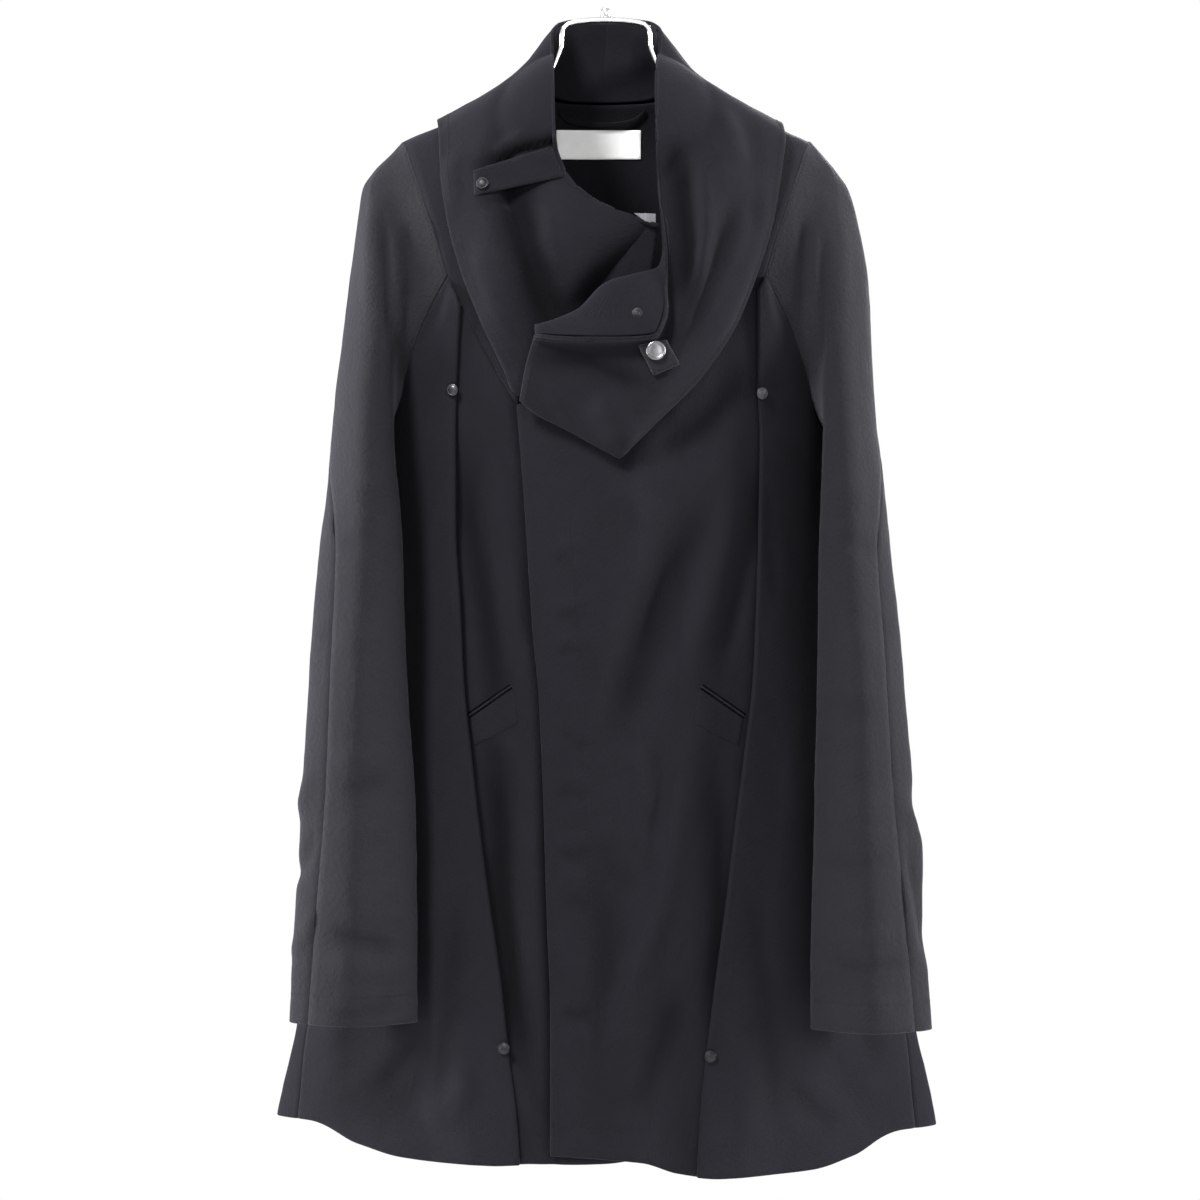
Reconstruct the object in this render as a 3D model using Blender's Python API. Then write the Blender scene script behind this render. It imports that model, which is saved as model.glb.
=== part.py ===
"""A pleated coat on a flat metal shop hanger, as thin cloth walls.

All tables are in millimetres. "drop" is the height below the inside top of the hanger's hook,
"out" is the distance from the coat's centre line, and the wearer's left is +X. The front is -Y.
"""

import math

import bpy
import bmesh
from mathutils import Vector
from mathutils.bvhtree import BVHTree

MM = 0.001
LEFT, RIGHT = 1, -1
SIDES = ((LEFT, "left"), (RIGHT, "right"))

CLOTH = 2.0
LABEL_THICK = 0.8
SEAM = 0.3
RIM = 0.5
PLEAT_RIM = 1.5


def clamp(value, low=0.0, high=1.0):
    return max(low, min(high, value))


def mix(a, b, t):
    return a + (b - a) * t


def ease(start, end, value):
    t = clamp((value - start) / (end - start))
    return t * t * (3 - 2 * t)


class Table:
    """Rows of named columns. The first column is the key; others are read between its rows."""

    def __init__(self, columns, rows, straight=False):
        self.columns = columns
        self.rows = rows
        self.straight = straight
        self.keys = [row[0] for row in rows]

    def __call__(self, column, key):
        values = [row[self.columns.index(column)] for row in self.rows]
        keys = self.keys
        if key <= keys[0]:
            return values[0]
        if key >= keys[-1]:
            return values[-1]
        i = max(k for k in range(len(keys) - 1) if keys[k] <= key)
        span = keys[i + 1] - keys[i]
        t = (key - keys[i]) / span
        if self.straight:
            return mix(values[i], values[i + 1], t)
        a, b = self.slope(values, i) * span, self.slope(values, i + 1) * span
        low = values[i] * (1 + 2 * t) * (1 - t) ** 2 + a * t * (1 - t) ** 2
        return low + values[i + 1] * t * t * (3 - 2 * t) - b * t * t * (1 - t)

    def slope(self, values, i):
        """The slope at row i that adds no bump between rows."""
        keys = self.keys
        if i in (0, len(keys) - 1):
            j = min(i, len(keys) - 2)
            return (values[j + 1] - values[j]) / (keys[j + 1] - keys[j])
        before = (values[i] - values[i - 1]) / (keys[i] - keys[i - 1])
        after = (values[i + 1] - values[i]) / (keys[i + 1] - keys[i])
        return 0.0 if before * after <= 0 else 2 * before * after / (before + after)


# ---- the body's form -------------------------------------------------------------------------

SHOULDER = Table(("out", "drop"), (
    (0, 104), (40, 107), (60, 114), (78, 125), (90, 134), (110, 147), (132, 159.5),
    (155, 168), (177, 178), (204, 205), (230, 250)))
SHOULDER_ROLL = 85
SECTION_ROUND = 1.3
BODY = Table(("drop", "half", "front", "back", "side", "power"), (
    (100, 262, 70, 69, 0, 2.2),
    (220, 262, 85, 70, 0, 2.2),
    (301, 255, 98, 75, 0, 2.2),
    (345, 230, 102, 78, 0, 2.2),
    (403, 196, 106, 80, 0, 2.2),
    (432, 193, 107, 81, 0, 2.1),
    (480, 195, 108, 82, 12, 2.0),
    (540, 201, 108, 83, 24, 1.9),
    (640, 216, 108, 84, 32, 1.7),
    (760, 238, 108, 86, 30, 1.7),
    (870, 257, 109, 89, 23, 1.7),
    (960, 273, 111, 91, 20, 1.7),
    (1033, 289, 113, 92, 12, 1.7),
    (1080, 296, 114, 92, 10, 1.7)))
# how far the back panel comes round to the front at each side
WRAP = Table(("drop", "width"), ((432, 1), (560, 8), (958, 10), (1033, 19), (1080, 21)))
HEM = Table(("out", "right", "left"), (
    (-80, 1054, 1052), (-50, 1054, 1053), (0, 1060, 1056), (30, 1061, 1059), (61, 1061, 1069),
    (99, 1063, 1074), (140, 1062.5, 1073), (177, 1060, 1071), (212, 1052, 1062),
    (247, 1042, 1049), (267, 1035, 1043), (296, 1032, 1042)))
BACK_HEM = 1066

# main folds of the fronts, from top to bottom; height is out of the cloth, negative in a valley
FOLDS = Table(("side", "top_out", "top_drop", "low_out", "low_drop", "width", "height"), (
    (LEFT, 66, 505, 2, 690, 15, -7),
    (LEFT, 112, 400, 50, 660, 17, 5),
    (LEFT, 118, 520, 94, 668, 11, -4),
    (LEFT, 100, 620, 20, 910, 20, 5),
    (LEFT, 150, 520, 165, 1060, 26, 6),
    (LEFT, 205, 640, 222, 1050, 20, -6),
    (LEFT, 30, 760, 70, 1060, 22, -4),
    (RIGHT, 88, 420, 96, 640, 13, -5),
    (RIGHT, 60, 700, 66, 1050, 20, 5),
    (RIGHT, 150, 520, 160, 1060, 26, 6),
    (RIGHT, 205, 640, 224, 1050, 20, -6),
    (RIGHT, 92, 800, 40, 1050, 18, -4)))
BACK_FOLDS = Table(("side", "top_out", "top_drop", "low_out", "low_drop", "width", "height"), (
    (LEFT, 70, 330, 96, 1060, 28, -7),
    (LEFT, 128, 300, 178, 1050, 30, 6),
    (RIGHT, 62, 350, 84, 1060, 26, -6),
    (RIGHT, 120, 310, 170, 1050, 30, 7),
    (RIGHT, 10, 480, 4, 1060, 24, 4)))


def fold_lift(table, x, drop):
    """How far the folds move the cloth out at a place."""
    total = 0.0
    for side, top_out, top_drop, low_out, low_drop, width, height in table.rows:
        t = (drop - top_drop) / (low_drop - top_drop)
        if 0 < t < 1:
            across = (side * x - mix(top_out, low_out, t)) / width
            total += height * math.sin(math.pi * t) ** 0.7 * math.exp(-across * across)
    return total


def section_share(x, drop):
    """1 on the centre line, 0 at the side: how much of the depth the section has at x."""
    ratio = clamp(abs(x) / BODY("half", drop))
    return (1 - ratio ** BODY("power", drop)) ** (1 / SECTION_ROUND)


def shoulder_share(x, drop):
    """0 on the shoulder line, 1 below the roll of the shoulder."""
    below = clamp((drop - SHOULDER("drop", abs(x))) / SHOULDER_ROLL)
    return math.sqrt(1 - (1 - below) ** 2)


def front_y(x, drop):
    share = section_share(x, drop) * shoulder_share(x, drop)
    side = BODY("side", drop)
    return side - (side + BODY("front", drop) + fold_lift(FOLDS, x, drop)) * share


def back_y(x, drop):
    share = section_share(x, drop) * shoulder_share(x, drop)
    side = BODY("side", drop)
    return side + (BODY("back", drop) - side + fold_lift(BACK_FOLDS, x, drop)) * share


def place(x, y, drop):
    return Vector((x * MM, y * MM, -drop * MM))


# ---- seam lines ------------------------------------------------------------------------------

RAGLAN = Table(("drop", "out"), (
    (178.5, 177), (191, 172), (205, 167), (219, 162), (243.5, 154), (267, 146), (290, 139.4),
    (301, 136), (316, 145), (330, 152.5), (344, 159.6), (358, 165), (382.5, 174), (403, 179),
    (420, 186), (432, 193)), straight=True)
BACK_NECK = Table(("out", "drop"), (
    (0, 139), (30, 138), (50, 135), (66, 130), (78, 126), (90, 135), (110, 148), (132, 160.5),
    (155, 169), (177, 178.5)), straight=True)
BACK_RAGLAN = Table(("drop", "out"), (
    (178.5, 177), (205, 172.5), (243.5, 168.5), (301, 166), (344, 169), (382.5, 175),
    (403, 181), (420, 188), (432, 193)), straight=True)
SHOULDER_END, APEX_DROP, ARMPIT_DROP = 200, 301, 432
NECK_OUT, APEX_OUT = 76, 136
NECK_SIDE, SHOULDER_POINT = 78, 177
UP = Vector((0, 0, 1))
YOKE_SEAM = Table(("out", "drop"), ((76, 413), (92, 388), (107, 361), (120, 337), (136, 301)),
                  straight=True)
NECKLINE = Table(("along", "out", "drop"), (
    (0, 78, 126), (0.16, 71, 160), (0.36, 65, 220), (0.6, 61, 290), (0.8, 63, 350),
    (1, 76, 413)))
FRONT_EDGE = Table(("drop", "out"), (
    (413, -76), (475, -71), (518, -68), (573, -64.5), (616, -61.5), (660, -57), (750, -53),
    (863, -49.5), (930, -47), (1060, -47)))
UNDER_EDGE = 22
NECK_RISE = {LEFT: 13, RIGHT: 9}
PLEAT = Table(("drop", "right", "left"), (
    (301, 125.5, 132), (399, 131, 133), (442, 132, 135), (518, 132, 134), (584, 128, 132),
    (649, 125, 129), (715, 118, 121), (784, 110, 112), (849, 101, 104), (907, 92.5, 96),
    (966, 86, 88.5), (1016, 79.5, 83), (1075, 75, 79.5)))
PLEAT_DEPTH = Table(("drop", "depth"), ((301, 2.5), (322, 5), (360, 16), (400, 28), (460, 36),
                                        (900, 36), (1080, 32)))
PLEAT_GAPE = Table(("drop", "gape"), ((301, 0), (399, 0), (500, 3.5), (600, 4.5), (800, 4),
                                      (966, 0), (1080, 0)))
LAYER = 3.2
OVERLAP_LIFT = 4.2
UNDER_SINK = 2.0


def armhole_drop(out):
    """The height of the armhole seam at a distance out from the centre line."""
    rows = [row for row in RAGLAN.rows if row[0] >= APEX_DROP]
    for (upper, near), (lower, far) in zip(rows, rows[1:]):
        if out <= far:
            return mix(upper, lower, (out - near) / (far - near))
    return ARMPIT_DROP


def front_top(out):
    """The top edge of a front panel: neckline, yoke seam, then armhole."""
    if out <= APEX_OUT:
        return YOKE_SEAM("drop", max(out, NECK_OUT))
    return armhole_drop(out + RIM)


def ridge_y(y, out):
    """The depth of a piece's top edge, which closes the shoulder seam but for its outer end."""
    along = clamp((out - NECK_SIDE) / (SHOULDER_POINT - NECK_SIDE))
    return mix(math.copysign(SEAM, y), y, along ** 4)


def side_out(drop):
    return BODY("half", drop) - WRAP("width", drop)


def hem_drop(side, out):
    return HEM("left" if side == LEFT else "right", out)


# ---- walls -----------------------------------------------------------------------------------

for old in list(bpy.data.objects):
    bpy.data.objects.remove(old)
coat = bpy.data.objects.new("pleated_coat", None)
bpy.context.scene.collection.objects.link(coat)
trees = {}


def add_object(name, bm, material, smooth_angle=50):
    mesh = bpy.data.meshes.new(name)
    bm.to_mesh(mesh)
    bm.free()
    mesh.shade_smooth()
    mesh.set_sharp_from_angle(angle=math.radians(smooth_angle))
    mesh.materials.append(material)
    node = bpy.data.objects.new(name, mesh)
    node.parent = coat
    bpy.context.scene.collection.objects.link(node)
    return node


def grid_normals(rows):
    """Unit normals of a grid of points, one for each point."""
    normals = []
    last_row, last_column = len(rows) - 1, len(rows[0]) - 1
    for i, row in enumerate(rows):
        line = []
        for j in range(len(row)):
            across = row[min(j + 1, last_column)] - row[max(j - 1, 0)]
            down = rows[min(i + 1, last_row)][j] - rows[max(i - 1, 0)][j]
            line.append(across.cross(down).normalized())
        normals.append(line)
    return normals


def wall(name, rows, thickness, material, seams=None, smooth_angle=50):
    """A sheet of cloth: a grid of points on its middle surface, thickened to both sides.

    seams gives the normal at edge points that two pieces share, so that their rims match.
    """
    normals = grid_normals(rows)
    for (i, j), normal in (seams or {}).items():
        if normals[i][j].dot(normal) < 0:
            normal = -normal
        normals[i][j] = normal
    bm = bmesh.new()
    half = thickness * MM / 2
    faces = []
    for way in (1, -1):
        faces.append([[bm.verts.new(point + normal * half * way)
                       for point, normal in zip(row, line)]
                      for row, line in zip(rows, normals)])
    front, back = faces
    for i in range(len(rows) - 1):
        for j in range(len(rows[0]) - 1):
            for grid in faces:
                bm.faces.new((grid[i][j], grid[i][j + 1], grid[i + 1][j + 1], grid[i + 1][j]))
    for a, b in zip(rim(front), rim(back)):
        bm.faces.new((a[0], a[1], b[1], b[0]))
    bmesh.ops.recalc_face_normals(bm, faces=bm.faces)
    bmesh.ops.triangulate(bm, faces=bm.faces[:], quad_method="FIXED")
    trees[name] = BVHTree.FromBMesh(bm)
    return add_object(name, bm, material, smooth_angle)


def rim(grid):
    """The edges round a grid, each as a pair of points."""
    top, bottom = grid[0], grid[-1]
    start, end = [row[0] for row in grid], [row[-1] for row in grid]
    loops = (top, end, bottom[::-1], start[::-1])
    return [pair for loop in loops for pair in zip(loop, loop[1:])]


def trim(points, start, end):
    """Moves a row's first and last points in along the row, by millimetres."""
    points = list(points)
    points[0] += (points[1] - points[0]).normalized() * start * MM
    points[-1] += (points[-2] - points[-1]).normalized() * end * MM
    return points


# ---- materials -------------------------------------------------------------------------------

def material(name, colour, roughness, metallic=0.0):
    made = bpy.data.materials.new(name)
    made.use_nodes = True
    shader = made.node_tree.nodes["Principled BSDF"]
    shader.inputs["Base Color"].default_value = (*colour, 1)
    shader.inputs["Roughness"].default_value = roughness
    shader.inputs["Metallic"].default_value = metallic
    made.diffuse_color = (*colour, 1)
    return made


# ---- sleeves ---------------------------------------------------------------------------------

# the ring of a sleeve at each height, through: hollow beside the body, fold edge, front crown,
# outer edge, back crown and the back beside the body
SLEEVE = Table(("drop", "fold_right", "fold_left", "outer_right", "outer_left", "fold_y",
                "crown_y", "outer_y", "back_out", "back_y", "inner_out", "inner_y", "hollow",
                "seam"), (
    (178.5, 177.4, 177.4, 178.8, 178.8, -4, -3, 0, 0.6, 3, 176, 5, 0, 1.0),
    (191, 184, 184, 190, 190, -19, -14, 0, 0.5, 17, 174, 20, 0, 1.0),
    (205, 196, 194, 204, 202, -25, -18, 0, 0.5, 24, 173, 28, 0, 1.0),
    (219, 201, 195, 213, 211.5, -33, -25, -1, 0.5, 30, 171, 36, 2, 1.0),
    (243.5, 199, 194, 217, 219, -47, -36, -3, 0.45, 38, 169, 46, 5, 1.0),
    (301, 194, 194, 223.5, 229.5, -70, -56, -9, 0.4, 50, 166, 58, 8, 1.0),
    (358, 190, 191.5, 230.5, 231.5, -80, -72, -17, 0.35, 57, 170, 56, 8, 1.0),
    (403, 187, 190, 235.5, 233.5, -84, -82, -22, 0.35, 57, 181, 40, 4, 1.0),
    (432, 184.5, 188.5, 238, 235.5, -86, -88, -26, 0.4, 53, 195.6, 2, 0, 1.0),
    (455, 183, 187.5, 240, 238.5, -86, -91, -30, 0.4, 47, 200.5, -2, 0, 0.9),
    (500, 179, 186, 244, 243, -86, -98, -38, 0.4, 30, 202, -14, 0, 0.6),
    (545, 176, 184, 249, 247, -87, -103, -46, 0.45, 12, 203, -24, 0, 0.44),
    (640, 173, 183, 255.5, 256, -90, -113, -62, 0.6, -12, 198, -44, 0, 0.4),
    (760, 166, 181, 261.5, 265, -93, -124, -76, 0.6, -32, 192, -60, 0, 0.43),
    (870, 164, 178, 267, 273, -97, -132, -87, 0.6, -44, 190, -68, 0, 0.5),
    (948, 164, 177.5, 270.5, 278, -100, -137, -94, 0.6, -53, 190, -74, 0, 0.54)))
SLEEVE_DROPS = (178.5, 191, 205, 219, 243.5, 267, 290, 301, 316, 330, 344, 358, 382.5, 403, 420,
                432, 455, 478, 500, 545, 590, 640, 700, 760, 815, 870, 910)
CUFF_DROP = {LEFT: 947, RIGHT: 941}
# pairs of soft folds round a sleeve, read at each height
SLEEVE_FOLDS = Table(("drop", "height", "turn"), (
    (178.5, 0, 0.2), (330, 0, 0.2), (440, 3, 0.5), (560, -3.5, 0.9), (650, 3, 1.2), (740, -2.5, 1.6),
    (830, 3, 2.1), (900, -2.5, 2.4), (950, 0, 2.6)))


def ring_keys(side, drop):
    """The points that a sleeve's ring goes through at a height, from front seam to back seam."""
    name = "left" if side == LEFT else "right"
    read = {column: SLEEVE(column, drop) for column in SLEEVE.columns[1:]}
    fold, outer = read["fold_" + name], read["outer_" + name]
    if drop < ARMPIT_DROP:
        start = (RAGLAN("out", drop), front_y(side * RAGLAN("out", drop), drop))
        end = (BACK_RAGLAN("out", drop), back_y(side * BACK_RAGLAN("out", drop), drop))
    else:
        inner = read["inner_out"] + (fold - read["fold_right"]) * 0.6
        start = end = (inner, read["inner_y"])
    hollow = (mix(start[0], fold, 0.5), mix(start[1], read["fold_y"], 0.5) + read["hollow"])
    crown = (mix(fold, outer, 0.5), read["crown_y"])
    back = (mix(outer, fold, read["back_out"]), read["back_y"])
    inner_back = (mix(back[0], end[0], 0.55), mix(back[1], end[1], 0.42))
    swell = SLEEVE_FOLDS("height", drop)
    keys = [start, hollow, (fold, read["fold_y"]), crown, (outer, read["outer_y"]), back,
            inner_back, end]
    for k in (3, 5):
        away = (keys[k][0] - mix(fold, outer, 0.5), keys[k][1] - read["outer_y"])
        length = math.hypot(*away) or 1
        keys[k] = tuple(a + swell * b / length for a, b in zip(keys[k], away))
    return keys


def ring_point(side, drop, at):
    """A point of a sleeve's ring; at counts its key points."""
    keys = ring_keys(side, drop)
    i = min(int(at), len(keys) - 2)
    t = at - i
    before, a = keys[max(i - 1, 0)], keys[i]
    b, after = keys[i + 1], keys[min(i + 2, len(keys) - 1)]
    xy = [0.5 * (2 * q + (r - p) * t + (2 * p - 5 * q + 4 * r - s) * t * t
                 + (3 * q - p - 3 * r + s) * t ** 3)
          for p, q, r, s in zip(before, a, b, after)]
    return place(side * xy[0], xy[1], drop)


def across(surface_y, side, out, drop, step=1.0):
    """The normal of the body's form at a seam point."""
    here = place(side * out, surface_y(side * out, drop), drop)
    inward = place(side * (out - step), surface_y(side * (out - step), drop), drop)
    down = place(side * out, surface_y(side * out, drop + step), drop + step)
    return (inward - here).cross(down - here).normalized()


def ring_normal(side, drop, at, ahead, step=1.0):
    here = ring_point(side, drop, at)
    along = ring_point(side, drop, ahead) - here
    down = ring_point(side, drop + step, at) - here
    return along.cross(down).normalized()


def seam_normal(side, drop, front):
    """The shared rim direction where a sleeve meets the front or the back."""
    table, surface_y = (RAGLAN, front_y) if front else (BACK_RAGLAN, back_y)
    body = -across(surface_y, side, table("out", drop), drop)
    start, ahead = (0.0, 0.1) if front else (7.0, 6.9)
    joined = body + ring_normal(side, drop, start, ahead)
    return joined.normalized() if drop > SHOULDER_END and joined.length > 0.3 else body


def make_sleeve(side, name, cloth):
    drops = [*SLEEVE_DROPS, CUFF_DROP[side]]
    front_rows, back_rows, front_seams, back_seams = [], [], {}, {}
    for i, drop in enumerate(drops):
        seam = 3 + SLEEVE("seam", drop)
        front_at = [0, 0.5, 1, 1.5, 2, 2.5, 3, mix(3, seam, 0.5), seam]
        back_at = [mix(seam, 7, k / 8) for k in range(9)]
        front_rows.append(trim([ring_point(side, drop, at) for at in front_at], SEAM, SEAM / 2))
        back_rows.append(trim([ring_point(side, drop, at) for at in back_at], SEAM / 2, RIM))
        front_seams[i, 8] = back_seams[i, 0] = ring_normal(side, drop, seam, seam - 0.1)
        if drop < ARMPIT_DROP:
            front_seams[i, 0] = seam_normal(side, drop, True)
            back_seams[i, 8] = seam_normal(side, drop, False)
        else:
            front_seams[i, 0] = ring_normal(side, drop, 0, 0.1)
            back_seams[i, 8] = ring_normal(side, drop, 7, 6.9)
    wall(f"sleeve_front_{name}", front_rows, CLOTH, cloth, front_seams)
    wall(f"sleeve_back_{name}", back_rows, CLOTH, cloth, back_seams)


# ---- fronts, yokes and back ------------------------------------------------------------------

LOW_ROWS = (0, 0.045, 0.1, 0.165, 0.235, 0.31, 0.39, 0.47, 0.55, 0.63, 0.71, 0.79, 0.865, 0.935, 1)
CENTRE_OUTS = {LEFT: (-76, -49, -22, 4, 30, 54, 64, 70, 76, 92, 107, 120),
               RIGHT: (-22, 0, 20, 40, 54, 64, 70, 76, 92, 107, 120)}
SEAM_OUTS = [row[1] for row in RAGLAN.rows if row[0] >= APEX_DROP]


def side_drop(side, share):
    """The height on the side seam, from armpit (0) to hem (1)."""
    return mix(ARMPIT_DROP, hem_drop(side, side_out(1038)), share)


def front_start(side, drop):
    return FRONT_EDGE("out", drop) if side == LEFT else -UNDER_EDGE


def neck_rise(side, out):
    """How far a front's top edge rises beside the yoke, under the collar."""
    return NECK_RISE[side] * ease(NECK_OUT, 70, out) * ease(54, 64, out)


def pleat_stations(side, name):
    """Places across a front panel: the zone of the pleat, and how far along that zone."""
    centre = []
    for out in CENTRE_OUTS[side]:
        top = front_top(out)
        start = front_start(side, top)
        centre.append(("centre", (out - start) / (PLEAT(name, top) - start)))
    centre.append(("centre", 1))
    under = [("under", share) for share in (0.5, 1)]
    turn_back = [("turn_back", share) for share in (0.25, 0.5, 0.75, 1)]
    middle = [("middle", 0.5), ("middle", 0)]
    edge = [("edge", share) for share in (0.25, 0.5, 0.75, 1)]
    outer = [("outer", out) for out in SEAM_OUTS]
    return centre + under + turn_back + middle + edge + outer


def station(side, zone, share, drop):
    """(out, lift) of a place across a front panel at a height."""
    name = "left" if side == LEFT else "right"
    pleat, depth = PLEAT(name, drop), PLEAT_DEPTH("depth", drop)
    radius = LAYER / 2
    gape = PLEAT_GAPE("gape", drop)
    if zone == "centre":
        out, lift = mix(front_start(side, drop), pleat, share), 0.0
    elif zone == "under":
        out, lift = pleat + depth * share, 0.0
    elif zone == "turn_back":
        turn = math.pi * share
        out, lift = pleat + depth + radius * math.sin(turn), radius * (1 - math.cos(turn))
    elif zone == "middle":
        out, lift = pleat + depth * share, LAYER + gape * (1 - share) * 0.6
    elif zone == "edge":
        turn = math.pi * share
        low, high = LAYER + gape * 0.6, 2 * LAYER + gape
        out = pleat - radius * math.sin(turn)
        lift = mix(low, high, (1 - math.cos(turn)) / 2)
    else:
        armpit_pleat = PLEAT(name, ARMPIT_DROP)
        along = (share - armpit_pleat) / (193 - armpit_pleat)
        low_out = mix(pleat, side_out(drop) - SEAM, along)
        out = share if drop < ARMPIT_DROP else low_out
        fade = mix(6, 46, ease(301, 480, drop))
        flat = ease(depth + 1, depth + 1 + fade, out - pleat)
        lift = (2 * LAYER + gape * ease(depth, 0, out - pleat)) * (1 - flat)
    if side == LEFT and zone == "centre":
        lift += OVERLAP_LIFT * (1 - ease(UNDER_EDGE, UNDER_EDGE + 30, out))
    if side == RIGHT and zone == "centre":
        lift -= UNDER_SINK * (1 - ease(-UNDER_EDGE, 60, out))
    return out, lift


def make_front(side, name, cloth):
    columns, seams = [], {}
    for j, (zone, share) in enumerate(pleat_stations(side, name)):
        top = 301.0
        for _ in range(12):
            top = front_top(station(side, zone, share, top)[0])
        if zone == "outer":
            seams[0, j] = seam_normal(side, min(armhole_drop(share), ARMPIT_DROP - 1), True)
        elif zone in ("centre", "under", "middle"):
            seams[0, j] = across(front_y, side, station(side, zone, share, top)[0], top)
        low = hem_drop(side, station(side, zone, share, 1060)[0])
        column = []
        plain = zone == "centre" or share > APEX_OUT
        top += RIM if plain else PLEAT_RIM
        if zone == "centre":
            top -= neck_rise(side, station(side, zone, share, top)[0])
        for row in LOW_ROWS:
            drop = mix(top, low, row)
            if zone == "outer":
                level = mix(drop, side_drop(side, row), ease(0.7, 1, (share - APEX_OUT) / 57))
                drop = max(level, top)
            out, lift = station(side, zone, share, drop)
            x = side * out
            column.append(place(x, front_y(x, drop) - lift, drop))
        columns.append(column)
    wall(f"front_{name}", [list(row) for row in zip(*columns)], CLOTH, cloth, seams)


def make_yoke(side, name, cloth):
    rows = []
    bottoms = (76, 92, 107, 120, 136)
    drops = [row[0] for row in RAGLAN.rows if row[0] <= APEX_DROP]
    seams = {}
    for i, drop in enumerate(drops):
        along = i / (len(drops) - 1)
        neck_out, neck_drop = NECKLINE("out", along), NECKLINE("drop", along)
        row = []
        for bottom in bottoms:
            share = (bottom - NECK_OUT) / (APEX_OUT - NECK_OUT)
            out = mix(neck_out, RAGLAN("out", drop), share)
            height = mix(neck_drop, drop, share)
            height += along ** 6 * (YOKE_SEAM("drop", bottom) - mix(413, 301, share))
            height = max(height, SHOULDER("drop", out) + RIM)
            y = front_y(side * out, height)
            row.append(place(side * out, y if i else ridge_y(y, out), height))
        rows.append(trim(row, 0, SEAM))
        seams[i, len(bottoms) - 1] = seam_normal(side, drop, True)
    for j, bottom in enumerate(bottoms[:-1]):
        seams[0, j] = UP
        seams[len(drops) - 1, j] = across(front_y, side, bottom, YOKE_SEAM("drop", bottom))
    wall(f"yoke_{name}", rows, CLOTH, cloth, seams)


def back_point(side, share, drop, edge_drop):
    """A point of the back at a share of the way from the centre line to its side edge."""
    half, power = BODY("half", drop), BODY("power", drop)
    if edge_drop <= ARMPIT_DROP:
        out = BACK_RAGLAN("out", edge_drop) * math.sin(share * math.pi / 2) ** (2 / power)
        return place(side * out, back_y(side * out, drop), drop)
    end_ratio = (side_out(drop) + SEAM) / half
    turn = share * (math.pi - math.asin(clamp(end_ratio) ** (power / 2)))
    out = half * math.sin(turn) ** (2 / power)
    surface_y = back_y if turn < math.pi / 2 else front_y
    return place(side * out, surface_y(side * out, drop), drop)


def back_level(share, edge_drop):
    """The height at a share of a row that starts at the back raglan seam."""
    out = 177 * math.sin(share * math.pi / 2)
    begun = (edge_drop - 178.5) / (ARMPIT_DROP - 178.5)
    centre = mix(139, ARMPIT_DROP, begun)
    bend = share ** 1.5
    top_shape = BACK_NECK("drop", out) - mix(139, 178.5, bend)
    return mix(centre, edge_drop, bend) + top_shape * (1 - ease(0, 0.5, begun))


def make_back(cloth):
    shares = (0, 0.1, 0.2, 0.29, 0.4, 0.52, 0.64, 0.76, 0.86, 0.94, 1)
    upper = [drop for drop in SLEEVE_DROPS if drop <= ARMPIT_DROP]
    rows, seams = [], {}
    for i, edge in enumerate([*upper, *LOW_ROWS[1:]]):
        halves = {}
        for side, _ in SIDES:
            if i < len(upper):
                line = [back_point(side, share, back_level(share, edge), edge)
                        for share in shares]
                column = 0 if side == RIGHT else 2 * len(shares) - 2
                seams[i, column] = seam_normal(side, min(edge, ARMPIT_DROP - 1), False)
            else:
                end, centre = side_drop(side, edge), mix(ARMPIT_DROP, BACK_HEM, edge)
                line = [back_point(side, share, mix(centre, end, ease(0.2, 0.78, share)), end)
                        for share in shares]
            if i == 0:
                for k, point in enumerate(line[3:-1], 3):
                    point.y = ridge_y(point.y / MM, abs(point.x) / MM) * MM
                    seams[0, len(shares) - 1 + side * k] = UP
            halves[side] = trim(line, 0, RIM)
        rows.append(halves[RIGHT][::-1] + halves[LEFT][1:])
    wall("back", rows, CLOTH, cloth, seams)


# ---- collar ----------------------------------------------------------------------------------

COLLAR_COLUMNS = ("along", "ridge_x", "ridge_y", "ridge_drop", "crown_x", "crown_y", "crown_drop",
                  "edge_x", "edge_y", "edge_drop", "brow_x", "brow_y", "brow_drop",
                  "neck_x", "neck_drop", "neck_forward", "tuck")
COLLAR_RIGHT = Table(COLLAR_COLUMNS, (
    (0.00, 0, 60, 64, 0, 96, 126, 0, 84, 214, 0, 58, 100, 0, 135.5, 0, 1),
    (0.12, -26, 52, 64, -48, 84, 120, -80, 78, 212, -28, 52, 100, -30, 134.5, 0, 1),
    (0.22, -41, 33, 69, -80, 54, 120, -126, 52, 196, -47, 34, 98, -54, 129, 0, 1),
    (0.31, -47, 7, 81, -88, 6, 125, -148, 8, 158, -57, 4, 104, -74.5, 121, 0, 1),
    (0.40, -47, -16, 105, -98, -38, 139, -145, -40, 172, -60, -24, 128, -71, 148, 0, 1),
    (0.50, -46.5, -40, 143, -98, -74, 176, -142, -72, 212, -59, -48, 160, -66, 184, 0, 1),
    (0.60, -45, -64, 182, -93, -97, 218, -135, -90, 257, -56, -70, 202, -61, 226, 0, 1),
    (0.70, -35, -84, 214, -86, -114, 256, -124, -99, 298, -50, -84, 240, -59, 270, 0, 1),
    (0.79, -12, -101, 238, -66, -125, 290, -107, -105, 341, -38, -92, 276, -58, 316, 0, 0.5),
    (0.87, 10, -108, 250, -40, -121, 322, -88, -108, 381, -16, -97, 306, -66, 390, -2, 0),
    (0.94, 28, -109, 257, -18, -114, 342, -75, -109, 405, 8, -100, 320, -58, 409, -3, 0),
    (1.00, 43.5, -108, 262, 30, -110, 338, 4, -109, 408, 34, -101, 320, 14, 408, -3, 0)))
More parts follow.
